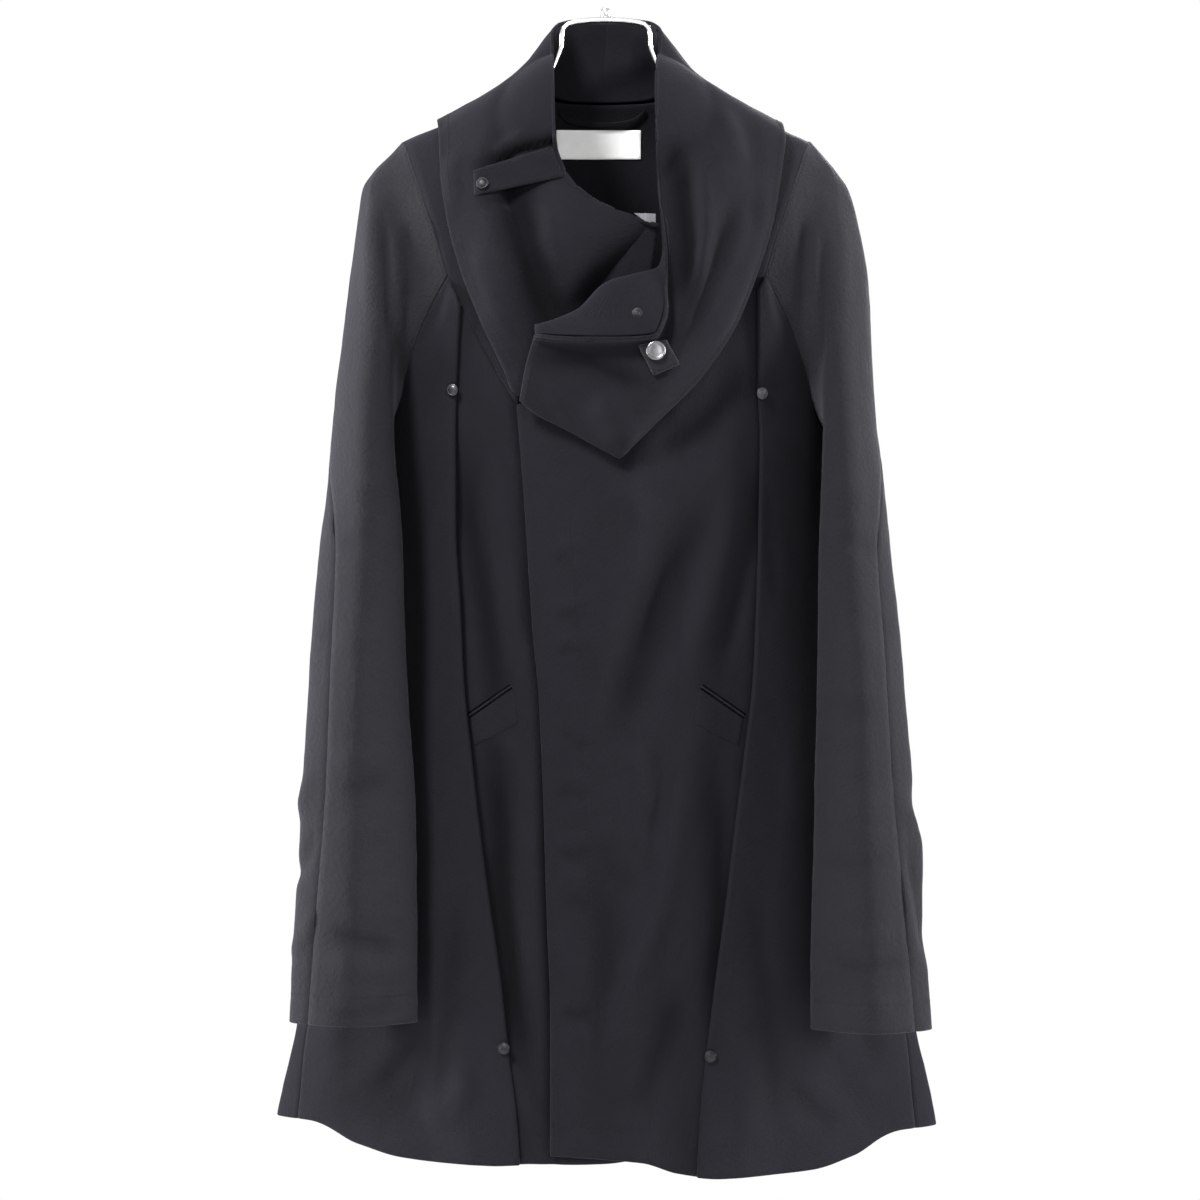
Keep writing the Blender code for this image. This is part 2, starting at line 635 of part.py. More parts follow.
COLLAR_LEFT = Table(COLLAR_COLUMNS, (
    (0.00, 0, 60, 64, 0, 96, 126, 0, 84, 214, 0, 58, 100, 0, 135.5, 0, 1),
    (0.10, 26, 52, 64, 48, 84, 120, 80, 78, 212, 28, 52, 100, 30, 134.5, 0, 1),
    (0.20, 42, 33, 69, 82, 54, 120, 130, 52, 196, 47, 34, 98, 54, 129, 0, 1),
    (0.28, 48, 7, 82, 90, 6, 126, 152, 8, 160, 57, 4, 104, 74.5, 121, 0, 1),
    (0.37, 46, -16, 110, 98, -38, 139, 155, -42, 176, 60, -24, 128, 71, 148, 0, 1),
    (0.47, 43.5, -50, 164, 98, -84, 186, 149, -75, 220, 58, -56, 174, 66, 184, 0, 2),
    (0.56, 44.5, -82, 206, 96, -108, 226, 142, -91, 258, 55, -80, 208, 61, 226, 0, 1),
    (0.65, 47, -108, 248, 91, -124, 266, 130, -102, 297, 54, -98, 252, 59, 270, 2, 1),
    (0.73, 50.5, -128, 294, 84, -134, 314, 110, -109, 346, 46, -119, 298, 58, 312, 6, 5),
    (0.79, 51, -140, 328, 70, -136, 358, 82, -116, 389, 28, -130, 304, 56, 344, 8, 10),
    (0.845, 43.4, -147.7, 355, 36.5, -136, 406, 21.5, -121, 449.5, 4, -134, 311, 46.7, 369, 9, 14),
    (0.855, 41, -148, 357, 30, -136, 408, 12, -121, 459.5, 0, -134, 313, 44, 372, 9, 14),
    (0.865, 37.6, -148, 358, 24, -136, 407.5, 4, -121, 455.5, -4, -134, 315.5, 40.4, 375, 9, 14),
    (0.92, 2, -147, 360, -10, -134, 396, -28, -121, 438, -24, -132, 336, 6, 388, 13, 14),
    (0.96, -28, -142, 359, -38, -131, 389, -51, -121.5, 425, -42, -129, 344, -24, 392, 14, 10.5),
    (1.00, -60, -134, 356, -67, -127, 380, -73, -122, 407, -60, -125, 350, -56, 396, 15, 5)))
SHOULDER_ALONG = 0.3
OFF_BODY = 6.5
UNDER_GAP = 2.5
FALL_STEPS = 8
STAND_STEPS = 5


def through(points, t):
    """A smooth curve through points, t from 0 to 1."""
    at = t * (len(points) - 1)
    i = min(int(at), len(points) - 2)
    t = at - i
    p, q = points[max(i - 1, 0)], points[i]
    r, s = points[i + 1], points[min(i + 2, len(points) - 1)]
    return 0.5 * (2 * q + (r - p) * t + (2 * p - 5 * q + 4 * r - s) * t * t
                  + (3 * q - p - 3 * r + s) * t ** 3)


def collar_point(table, kind, along):
    return place(table(kind + "_x", along), table(kind + "_y", along), table(kind + "_drop", along))


def neck_point(table, along):
    """Where the standing layer meets the neckline of back or yoke."""
    x, drop = table("neck_x", along), table("neck_drop", along)
    surface_y = back_y if along < SHOULDER_ALONG else front_y
    return place(x, surface_y(x, drop + 2) - table("neck_forward", along), drop)


def off_body(point, gap):
    """Moves a point of the turned-down layer out where it would touch the coat below it."""
    x, y, drop = point.x / MM, point.y / MM, -point.z / MM
    rolled = SHOULDER("drop", abs(x)) + SHOULDER_ROLL
    surface_y = front_y if y < 0 else back_y
    depth = abs(surface_y(x, max(drop, rolled))) + gap
    above = max(rolled - drop, 0) / (SHOULDER_ROLL + gap)
    reach = math.hypot(y / depth, above)
    if reach >= 1:
        return point
    if above == 0:
        return place(x, math.copysign(depth, y), drop)
    return place(x, y / reach, rolled - (rolled - drop) / reach)


def make_collar(side, name, cloth):
    table = COLLAR_LEFT if side == LEFT else COLLAR_RIGHT
    keys = table.keys
    places = sorted({mix(a, b, t) for a, b in zip(keys, keys[1:]) for t in (0, 0.5)} | {1.0})
    fall, stand = [], []
    for along in places:
        ridge, crown, edge, brow = (
            collar_point(table, kind, along) for kind in ("ridge", "crown", "edge", "brow"))
        neck = neck_point(table, along)
        toward = (crown - ridge).normalized()
        under = ridge + toward * 7 * MM + Vector((0, table("tuck", along) * MM, 0))
        outer = [ridge, under, crown, edge]
        ahead = collar_point(table, "ridge", along + 0.01)
        run = ahead - collar_point(table, "ridge", along - 0.01)
        inward = run.cross(under - ridge).normalized()
        inward = inward if inward.xy.dot(ridge.xy) < 0 else -inward
        inner = [ridge + inward * (CLOTH + 2 * SEAM) * MM, brow, neck]
        gap = mix(OFF_BODY, UNDER_GAP, ease(0.75, 0.9, along) if side == RIGHT else 0)
        fall.append([off_body(through(outer, k / FALL_STEPS), gap)
                     for k in range(FALL_STEPS + 1)])
        stand.append([through(inner, k / STAND_STEPS) for k in range(STAND_STEPS + 1)])
    for rows in (fall, stand):
        for point in rows[0]:
            point.x = side * SEAM / 2 * MM
    for kind, rows in (("fall", fall), ("stand", stand)):
        seams = {}
        for j, normal in enumerate(grid_normals(rows)[0]):
            seams[0, j] = Vector((0, normal.y, normal.z)).normalized()
        wall(f"collar_{kind}_{name}", rows, CLOTH, cloth, seams)


# ---- things on the cloth ---------------------------------------------------------------------

def on_cloth(node, x, drop):
    """The point of a piece's outer face that is seen from the front at a place, and its normal."""
    start = Vector((x * MM, -1.0, -drop * MM))
    hit, normal, _, _ = trees[node].ray_cast(start, Vector((0, 1, 0)))
    if hit is None:
        raise ValueError(f"nothing of {node} at {x}, {drop}")
    return hit, normal if normal.y < 0 else -normal


def patch(name, nodes, corners, steps, lift, thickness, cloth, bulge=0.0):
    """A flat piece with four corners (x, drop), laid on the cloth and lifted off it."""
    across_steps, down_steps = steps
    a, b, c, d = corners
    rows = []
    for i in range(down_steps + 1):
        v = i / down_steps
        row = []
        for j in range(across_steps + 1):
            u = j / across_steps
            x = mix(mix(a[0], b[0], u), mix(d[0], c[0], u), v)
            drop = mix(mix(a[1], b[1], u), mix(d[1], c[1], u), v)
            near = min((on_cloth(node, x, drop) for node in nodes), key=lambda hit: hit[0].y)
            rise = lift + thickness / 2 + bulge * math.sin(math.pi * u)
            row.append(near[0] + Vector((0, -rise * MM, 0)))
        rows.append(row)
    wall(name, rows, thickness, cloth)


def turned(name, centre, normal, profile, metal, segments=14):
    """A small turned piece: a closed profile of (radius, height) rings about its own axis."""
    bm = bmesh.new()
    axis = normal.normalized()
    side = axis.orthogonal().normalized()
    other = axis.cross(side)
    rings = []
    for radius, height in profile:
        ring = []
        for k in range(segments):
            turn = 2 * math.pi * k / segments
            spoke = side * math.cos(turn) + other * math.sin(turn)
            ring.append(bm.verts.new(centre + (spoke * radius + axis * height) * MM))
        rings.append(ring)
    for low, high in zip(rings, rings[1:]):
        for k in range(segments):
            n = (k + 1) % segments
            bm.faces.new((low[k], low[n], high[n], high[k]))
    bm.faces.new(rings[0])
    bm.faces.new(rings[-1])
    bmesh.ops.recalc_face_normals(bm, faces=bm.faces)
    add_object(name, bm, metal, 30)


SNAP = ((4.4, 0.4), (5.25, 1.2), (5.1, 2.2), (3.6, 3.0), (1.2, 3.3))
BIG_SNAP = ((7.2, 0.4), (8.3, 1.3), (8.1, 2.6), (6.4, 3.4), (5.6, 3.0), (1.5, 3.3))
STUD = ((2.6, 0.4), (5.2, 0.8), (5.0, 1.6), (2.6, 2.2), (2.2, 3.6))
PLEAT_SNAPS = (("upper", 399.5, 402.5), ("lower", 963, 970))
SNAP_INSET = 6.0
SNAP_CLEAR = 0.5


def make_snap(name, node, x, drop, profile, metal):
    hit, normal = on_cloth(node, x, drop)
    turned(name, hit + normal * SNAP_CLEAR * MM, normal, profile, metal)


WELT_CORNERS = ((80, 657), (117.5, 683), (113.5, 706), (75.5, 686))
STRAP_CORNERS = ((-113, 213), (-47.5, 192), (-37, 217.5), (-112, 234))
STRAP_SNAP = (-105.5, 224.5)
TAB = Table(("corner", "x", "y", "drop"), (
    (0, 28, -141.5, 366), (1, 50.5, -142, 361.5), (2, 61.3, -141.5, 381), (3, 40.2, -141, 390)))
TAB_SNAP = (42, 370)
STUD_PLACE = (25.8, 339)


def sweep(name, points, width, height, metal, segments=4, closed_up=Vector((0, 1, 0))):
    """A bar along points: width across (front to back) and height; 4 sides, or rounder."""
    bm = bmesh.new()
    rings = []
    for i, point in enumerate(points):
        ahead = points[min(i + 1, len(points) - 1)] - points[max(i - 1, 0)]
        across_bar = closed_up
        up = ahead.cross(across_bar).normalized()
        ring = []
        for k in range(segments):
            turn = 2 * math.pi * (k + 0.5) / segments
            scale = math.sqrt(2) if segments == 4 else 1
            ring.append(bm.verts.new(point + across_bar * math.cos(turn) * scale * width / 2 * MM
                                     + up * math.sin(turn) * scale * height / 2 * MM))
        rings.append(ring)
    for low, high in zip(rings, rings[1:]):
        for k in range(segments):
            n = (k + 1) % segments
            bm.faces.new((low[k], low[n], high[n], high[k]))
    bm.faces.new(rings[0])
    bm.faces.new(rings[-1])
    bmesh.ops.recalc_face_normals(bm, faces=bm.faces)
    bmesh.ops.triangulate(bm, faces=bm.faces[:], quad_method="FIXED")
    add_object(name, bm, metal, 35)


def make_collar_closures(cloth, metal):
    """The strap and the tab that hold the collar, with their snaps, and the stud they fit."""
    patch("collar_strap", ["collar_fall_right"], STRAP_CORNERS, (8, 2), 1.0, CLOTH, cloth, 2.0)
    make_snap("strap_snap", "collar_strap", *STRAP_SNAP, SNAP, metal)
    corners = [place(TAB("x", k), TAB("y", k), TAB("drop", k)) for k in range(4)]
    rows = [[corners[0].lerp(corners[1], j / 2) for j in range(3)],
            [corners[3].lerp(corners[2], j / 2) for j in range(3)]]
    wall("collar_tab", rows, CLOTH, cloth)
    make_snap("tab_snap", "collar_tab", *TAB_SNAP, BIG_SNAP, metal)
    make_snap("collar_stud", "collar_stand_left", *STUD_PLACE, STUD, metal)


# ---- hanger ----------------------------------------------------------------------------------

HANGER_ARM = Table(("out", "drop"), (
    (31, 73), (40, 97), (50, 119), (64, 136), (82, 147), (110, 159), (135, 173), (160, 188),
    (180, 200), (191, 207)), straight=True)
BAR_HEIGHT = 4.0
BAR_WIDTH = 12
ROD = 4.0
HOOK_RADIUS = 21.0
HOOK_TURN = (-90, 205)
BAR_DROP = 73


def make_hanger(metal):
    arm = [place(out, 0, drop) for out, drop in HANGER_ARM.rows]
    other = [Vector((-p.x, p.y, p.z)) for p in arm[::-1]]
    sweep("hanger", other + arm, BAR_WIDTH, BAR_HEIGHT, metal)
    centre_drop = HOOK_RADIUS - ROD / 2
    top = BAR_DROP - BAR_HEIGHT / 2 - SEAM
    points = [place(0, 0, drop) for drop in (top, 58, centre_drop + HOOK_RADIUS + 6)]
    first, last = HOOK_TURN
    for k in range(15):
        turn = math.radians(mix(first + 18, last, k / 14))
        points.append(place(HOOK_RADIUS * math.cos(turn), 0,
                            centre_drop - HOOK_RADIUS * math.sin(turn)))
    sweep("hanger_hook", points, ROD, ROD, metal, segments=8)


# ---- the coat --------------------------------------------------------------------------------

def make_labels(cloth, label, tape):
    """The blank neck label and the hanger loop lie on the inner face of the back."""
    def inside(x, drop, off):
        hit = trees["back"].ray_cast(Vector((x * MM, 0, -drop * MM)), Vector((0, 1, 0)))[0]
        return hit - Vector((0, off * MM, 0))

    rows = [[inside(x, drop, 1.2) for x in (-44, -25, -6, 13, 31)] for drop in (160, 172, 185)]
    wall("neck_label", rows, LABEL_THICK, label)
    loop = Table(("x", "top", "off"), (
        (-42, 142.5, 2.4), (-33, 150, 3.4), (-18, 153, 5), (-3, 154, 5.5), (12, 153, 5),
        (25, 150, 3.4), (35, 142.5, 2.4)))
    rows = [[inside(x, top + down, off) for x, top, off in loop.rows] for down in (0, 3.6)]
    wall("hanger_loop", rows, 1.2, tape)
    corners = ((24, 251), (42, 251.5), (42, 260.5), (33, 257.5))
    rows = []
    for i in range(2):
        left, right = (corners[0], corners[1]) if i == 0 else (corners[3], corners[2])
        row = []
        for j in range(3):
            x, drop = mix(left[0], right[0], j / 2), mix(left[1], right[1], j / 2)
            row.append(place(x, -112, drop))
        rows.append(row)
    wall("care_label", rows, LABEL_THICK, label)


def main():
    cloth = material("wool_cloth", (0.022, 0.022, 0.026), 0.85)
    label = material("label_satin", (0.8, 0.8, 0.78), 0.6)
    tape = material("tape", (0.02, 0.02, 0.024), 0.7)
    dark_metal = material("snap_metal", (0.05, 0.05, 0.055), 0.35, 1.0)
    bright_metal = material("bright_metal", (0.75, 0.75, 0.76), 0.25, 1.0)
    for side, name in SIDES:
        make_front(side, name, cloth)
        make_yoke(side, name, cloth)
        make_sleeve(side, name, cloth)
        make_collar(side, name, cloth)
    make_back(cloth)
    make_labels(cloth, label, tape)
    for side, name in SIDES:
        corners = tuple((side * out, drop) for out, drop in WELT_CORNERS)
        patch(f"pocket_welt_{name}", [f"front_{name}"], corners, (5, 2), 0.5, 2.0, cloth)
        for k, (level, right_drop, left_drop) in enumerate(PLEAT_SNAPS):
            drop = left_drop if side == LEFT else right_drop
            out = PLEAT(name, drop) + SNAP_INSET
            make_snap(f"pleat_snap_{level}_{name}", f"front_{name}", side * out, drop, SNAP,
                      dark_metal)
    make_collar_closures(cloth, dark_metal)
    make_hanger(bright_metal)


main()
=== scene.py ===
"""The looks of a pleated wool coat on a flat metal hanger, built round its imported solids.

All tables are in millimetres. "drop" is the height below the inside top of the hanger's hook,
"out" is the distance from the coat's centre line, and the wearer's left is +X. The front is -Y.
"""

import math

import bpy
import numpy as np
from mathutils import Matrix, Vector, noise
from mathutils.bvhtree import BVHTree


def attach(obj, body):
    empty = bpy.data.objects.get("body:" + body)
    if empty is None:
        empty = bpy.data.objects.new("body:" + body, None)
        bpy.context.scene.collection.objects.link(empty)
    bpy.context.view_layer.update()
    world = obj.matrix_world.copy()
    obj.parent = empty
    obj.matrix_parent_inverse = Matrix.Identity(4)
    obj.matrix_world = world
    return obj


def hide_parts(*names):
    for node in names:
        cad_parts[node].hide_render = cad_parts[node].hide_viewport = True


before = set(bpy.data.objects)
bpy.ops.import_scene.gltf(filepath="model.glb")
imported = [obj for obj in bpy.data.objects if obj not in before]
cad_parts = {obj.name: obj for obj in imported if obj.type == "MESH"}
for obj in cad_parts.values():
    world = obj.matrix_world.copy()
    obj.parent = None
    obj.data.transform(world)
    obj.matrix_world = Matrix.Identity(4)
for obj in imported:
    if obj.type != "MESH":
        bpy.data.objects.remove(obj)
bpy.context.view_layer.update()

bl_info = {
    "name": "Pleated coat on a hanger",
    "version": (1, 0, 0),
    "blender": (4, 5, 0),
    "location": "3D View > Sidebar > Coat",
    "description": "Builds the cloth, trim and hanger of a pleated coat, and its studio",
    "category": "Add Mesh",
}

MM = 0.001
LEFT, RIGHT = 1, -1
SIDES = ((LEFT, "left"), (RIGHT, "right"))
CARRIER = "root"
SEAM = 0.3
RIM = 0.5
PLEAT_RIM = 1.5
SOLID_CLOTH = 2.0


def side_name(side):
    return "left" if side == LEFT else "right"


def mix(a, b, t):
    return a + (b - a) * t


def ease(start, end, value):
    t = np.clip((value - start) / (end - start), 0, 1)
    return t * t * (3 - 2 * t)


def spline(p, q, r, s, t):
    """A smooth curve from q to r, between p and s."""
    return 0.5 * (2 * q + (r - p) * t + (2 * p - 5 * q + 4 * r - s) * t * t
                  + (3 * q - p - 3 * r + s) * t ** 3)


def unit(vectors):
    return vectors / np.maximum(np.linalg.norm(vectors, axis=-1, keepdims=True), 1e-9)


def place(x, y, drop):
    return np.stack(np.broadcast_arrays(x, y, -np.asarray(drop)), axis=-1).astype(float)


def subdivide(values, step):
    """The same values with more between them, so that none are more than a step apart."""
    made = [values[0]]
    for a, b in zip(values, values[1:]):
        count = max(1, math.ceil(abs(b - a) / step))
        made += [mix(a, b, k / count) for k in range(1, count + 1)]
    return np.array(made, float)


class Table:
    """Rows of named columns. The first column is the key; others are read between its rows."""

    def __init__(self, columns, rows, straight=False):
        self.columns = columns
        self.rows = rows
        self.straight = straight
        self.keys = np.array([row[0] for row in rows], float)

    def __call__(self, column, key):
        values = np.array([row[self.columns.index(column)] for row in self.rows], float)
        keys = self.keys
        key = np.clip(key, keys[0], keys[-1])
        i = np.clip(np.searchsorted(keys, key, side="right") - 1, 0, len(keys) - 2)
        span = keys[i + 1] - keys[i]
        t = (key - keys[i]) / span
        if self.straight:
            return mix(values[i], values[i + 1], t)
        slopes = self.slopes(values)
        a, b = slopes[i] * span, slopes[i + 1] * span
        low = values[i] * (1 + 2 * t) * (1 - t) ** 2 + a * t * (1 - t) ** 2
        return low + values[i + 1] * t * t * (3 - 2 * t) - b * t * t * (1 - t)

    def slopes(self, values):
        """The slopes at the rows that add no bump between them."""
        rise = np.diff(values) / np.diff(self.keys)
        before, after = rise[:-1], rise[1:]
        same_way = before * after > 0
        middle = 2 * before * after / np.where(same_way, before + after, 1)
        return np.concatenate([rise[:1], np.where(same_way, middle, 0), rise[-1:]])


# ---- the coat's form, as its solids have it --------------------------------------------------

SHOULDER = Table(("out", "drop"), (
    (0, 104), (40, 107), (60, 114), (78, 125), (90, 134), (110, 147), (132, 159.5),
    (155, 168), (177, 178), (204, 205), (230, 250)))
SHOULDER_ROLL = 85
SECTION_ROUND = 1.3
BODY = Table(("drop", "half", "front", "back", "side", "power"), (
    (100, 262, 70, 69, 0, 2.2),
    (220, 262, 85, 70, 0, 2.2),
    (301, 255, 98, 75, 0, 2.2),
    (345, 230, 102, 78, 0, 2.2),
    (403, 196, 106, 80, 0, 2.2),
    (432, 193, 107, 81, 0, 2.1),
    (480, 195, 108, 82, 12, 2.0),
    (540, 201, 108, 83, 24, 1.9),
    (640, 216, 108, 84, 32, 1.7),
    (760, 238, 108, 86, 30, 1.7),
    (870, 257, 109, 89, 23, 1.7),
    (960, 273, 111, 91, 20, 1.7),
    (1033, 289, 113, 92, 12, 1.7),
    (1080, 296, 114, 92, 10, 1.7)))
# how far the back panel comes round to the front at each side
WRAP = Table(("drop", "width"), ((432, 1), (560, 8), (958, 10), (1033, 19), (1080, 21)))
HEM = Table(("out", "right", "left"), (
    (-80, 1054, 1052), (-50, 1054, 1053), (0, 1060, 1056), (30, 1061, 1059), (61, 1061, 1069),
    (99, 1063, 1074), (140, 1062.5, 1073), (177, 1060, 1071), (212, 1052, 1062),
    (247, 1042, 1049), (267, 1035, 1043), (296, 1032, 1042)))
BACK_HEM = 1066
# main folds of the fronts, from top to bottom; height is out of the cloth, negative in a valley
FOLDS = Table(("side", "top_out", "top_drop", "low_out", "low_drop", "width", "height"), (
    (LEFT, 66, 505, 2, 690, 15, -7),
    (LEFT, 112, 400, 50, 660, 17, 5),
    (LEFT, 118, 520, 94, 668, 11, -4),
    (LEFT, 100, 620, 20, 910, 20, 5),
    (LEFT, 150, 520, 165, 1060, 26, 6),
    (LEFT, 205, 640, 222, 1050, 20, -6),
    (LEFT, 30, 760, 70, 1060, 22, -4),
    (RIGHT, 88, 420, 96, 640, 13, -5),
    (RIGHT, 60, 700, 66, 1050, 20, 5),
    (RIGHT, 150, 520, 160, 1060, 26, 6),
    (RIGHT, 205, 640, 224, 1050, 20, -6),
    (RIGHT, 92, 800, 40, 1050, 18, -4)))
BACK_FOLDS = Table(("side", "top_out", "top_drop", "low_out", "low_drop", "width", "height"), (
    (LEFT, 70, 330, 96, 1060, 28, -7),
    (LEFT, 128, 300, 178, 1050, 30, 6),
    (RIGHT, 62, 350, 84, 1060, 26, -6),
    (RIGHT, 120, 310, 170, 1050, 30, 7),
    (RIGHT, 10, 480, 4, 1060, 24, 4)))


def fold_lift(table, x, drop):
    """How far the main folds move the cloth out at a place."""
    total = 0.0
    for side, top_out, top_drop, low_out, low_drop, width, height in table.rows:
        t = np.clip((drop - top_drop) / (low_drop - top_drop), 0, 1)
        across = (side * x - mix(top_out, low_out, t)) / width
        along = np.maximum(np.sin(np.pi * t), 0) ** 0.7
        total = total + height * along * np.exp(-across * across)
    return total


def section_share(x, drop):
    """1 on the centre line, 0 at the side: how much of the depth the section has at x."""
    ratio = np.clip(np.abs(x) / BODY("half", drop), 0, 1)
    return (1 - ratio ** BODY("power", drop)) ** (1 / SECTION_ROUND)


def shoulder_share(x, drop):
    """0 on the shoulder line, 1 below the roll of the shoulder."""
    below = np.clip((drop - SHOULDER("drop", np.abs(x))) / SHOULDER_ROLL, 0, 1)
    return np.sqrt(1 - (1 - below) ** 2)


def front_y(x, drop):
    share = section_share(x, drop) * shoulder_share(x, drop)
    side = BODY("side", drop)
    return side - (side + BODY("front", drop) + fold_lift(FOLDS, x, drop)) * share


def back_y(x, drop):
    share = section_share(x, drop) * shoulder_share(x, drop)
    side = BODY("side", drop)
    return side + (BODY("back", drop) - side + fold_lift(BACK_FOLDS, x, drop)) * share


RAGLAN = Table(("drop", "out"), (
    (178.5, 177), (191, 172), (205, 167), (219, 162), (243.5, 154), (267, 146), (290, 139.4),
    (301, 136), (316, 145), (330, 152.5), (344, 159.6), (358, 165), (382.5, 174), (403, 179),
    (420, 186), (432, 193)), straight=True)
BACK_NECK = Table(("out", "drop"), (
    (0, 139), (30, 138), (50, 135), (66, 130), (78, 126), (90, 135), (110, 148), (132, 160.5),
    (155, 169), (177, 178.5)), straight=True)
BACK_RAGLAN = Table(("drop", "out"), (
    (178.5, 177), (205, 172.5), (243.5, 168.5), (301, 166), (344, 169), (382.5, 175),
    (403, 181), (420, 188), (432, 193)), straight=True)
APEX_DROP, ARMPIT_DROP, NECK_DROP = 301, 432, 413
BACK_NECK_DROP = 139
NECK_OUT, APEX_OUT = 76, 136
NECK_SIDE, SHOULDER_POINT = 78, 177
YOKE_SEAM = Table(("out", "drop"), ((76, 413), (92, 388), (107, 361), (120, 337), (136, 301)),
                  straight=True)
NECKLINE = Table(("along", "out", "drop"), (
    (0, 78, 126), (0.16, 71, 160), (0.36, 65, 220), (0.6, 61, 290), (0.8, 63, 350),
    (1, 76, 413)))
FRONT_EDGE = Table(("drop", "out"), (
    (413, -76), (475, -71), (518, -68), (573, -64.5), (616, -61.5), (660, -57), (750, -53),
    (863, -49.5), (930, -47), (1060, -47)))
UNDER_EDGE = 22
NECK_RISE = {LEFT: 13, RIGHT: 9}
PLEAT = Table(("drop", "right", "left"), (
    (301, 125.5, 132), (399, 131, 133), (442, 132, 135), (518, 132, 134), (584, 128, 132),
    (649, 125, 129), (715, 118, 121), (784, 110, 112), (849, 101, 104), (907, 92.5, 96),
    (966, 86, 88.5), (1016, 79.5, 83), (1075, 75, 79.5)))
PLEAT_DEPTH = Table(("drop", "depth"), ((301, 2.5), (322, 5), (360, 16), (400, 28), (460, 36),
                                        (900, 36), (1080, 32)))
PLEAT_GAPE = Table(("drop", "gape"), ((301, 0), (399, 0), (500, 3.5), (600, 4.5), (800, 4),
                                      (966, 0), (1080, 0)))
LAYER = 3.2
OVERLAP_LIFT = 4.2
UNDER_SINK = 2.0
ARMPIT_OUT = 193
ARMHOLE = np.array([row for row in RAGLAN.rows if row[0] >= APEX_DROP], float)
# the places across where the rise of a front's neckline and the lift of a yoke's seam begin
NECK_FADE = (54, 64)
# how far a front's neckline rises for each millimetre nearer the centre
NECK_SLOPE = 4.8
# how much higher than in the solids a yoke's seam lies, where the left collar covers it
SEAM_LIFT = {LEFT: 26, RIGHT: 0}
SEAM_LIFT_END = (116, 134)


def seam_lift(side, out):
    return SEAM_LIFT[side] * ease(*NECK_FADE, out) * (1 - ease(*SEAM_LIFT_END, out))


def front_top(side, out):
    """The top edge of a front panel: neckline, yoke seam, then armhole."""
    if out <= APEX_OUT:
        return YOKE_SEAM("drop", max(out, NECK_OUT)) - seam_lift(side, out)
    return np.interp(out + RIM, ARMHOLE[:, 1], ARMHOLE[:, 0])


def ridge_y(y, out):
    """The depth of a piece's top edge, which closes the shoulder seam but for its outer end."""
    along = np.clip((out - NECK_SIDE) / (SHOULDER_POINT - NECK_SIDE), 0, 1)
    return mix(np.copysign(SEAM, y), y, along ** 4)


def side_out(drop):
    return BODY("half", drop) - WRAP("width", drop)


def hem_drop(side, out):
    return HEM(side_name(side), out)


# ---- settings --------------------------------------------------------------------------------

def length_setting(name, description, default):
    return bpy.props.FloatProperty(name=name, description=description, default=default,
                                   min=0, subtype="DISTANCE", unit="LENGTH")


def colour_setting(name, description, default):
    return bpy.props.FloatVectorProperty(name=name, description=description, default=default,
                                         size=3, min=0, max=1, subtype="COLOR")


def power_setting(name, description, default):
    return bpy.props.FloatProperty(name=name, description=description, default=default,
                                   min=0, unit="POWER")


class ClothSettings(bpy.types.PropertyGroup):
    """The coat's cloth: its thickness, how finely it is made, and how creased it is."""

    thickness: length_setting("Thickness", "Thickness of one layer of the wool", 0.0021)
    collar_thickness: length_setting("Collar thickness", "Thickness of the doubled collar", 0.0027)
    grid: length_setting("Grid", "Distance between the points of a cloth piece", 0.0042)
    creases: bpy.props.FloatProperty(
        name="Creases", description="Height of the small creases, 1 as shown", default=1.0,
        min=0, soft_max=2, subtype="FACTOR")
    unevenness: length_setting("Unevenness", "Height of the cloth's soft unevenness", 0.0008)


class ColourSettings(bpy.types.PropertyGroup):
    """The colours of the cloth, the trim and the hanger."""

    body: colour_setting("Body wool", "Fronts, back and collar", (0.0050, 0.0048, 0.0062))
    # the sleeves' wool is lighter than the body's as painted light, standing in for the side lights
    # that fall on the sleeves; its coarser crepe and twill are the cloth's own
    sleeve: colour_setting("Sleeve wool", "Sleeves, which are a little lighter",
                           (0.0070, 0.0069, 0.0082))
    # near-black colour of the cords laid along the pockets' slits: painted shade where the slits
    # are in shadow
    mouth: colour_setting("Pocket mouths", "The dark inside of the pockets' mouths",
                          (0.0006, 0.0006, 0.0008))
    thread: colour_setting("Thread", "Stitching", (0.0040, 0.0040, 0.0050))
    tape: colour_setting("Tape", "Hanger loop", (0.006, 0.006, 0.007))
    label: colour_setting("Label", "Blank neck label", (0.78, 0.78, 0.77))
    care_label: colour_setting("Care label", "Small label in the collar", (0.09, 0.092, 0.1))
    snap: colour_setting("Dark fasteners", "Other press fasteners and the stud",
                         (0.02, 0.02, 0.022))
    grey: colour_setting("Grey fasteners", "Upper press fasteners on the pleats",
                         (0.045, 0.045, 0.048))
    silver: colour_setting("Silver fastener", "Large press fastener on the tab",
                           (0.12, 0.12, 0.125))
    hanger: colour_setting("Hanger", "Steel strip and hook", (0.62, 0.62, 0.63))


class TrimSettings(bpy.types.PropertyGroup):
    """Stitching and small trim."""

    stitch: length_setting("Stitch", "Length of one stitch", 0.0028)
    gap: length_setting("Stitch gap", "Distance between two stitches", 0.0009)
    thread: length_setting("Thread", "Thickness of the thread", 0.0005)


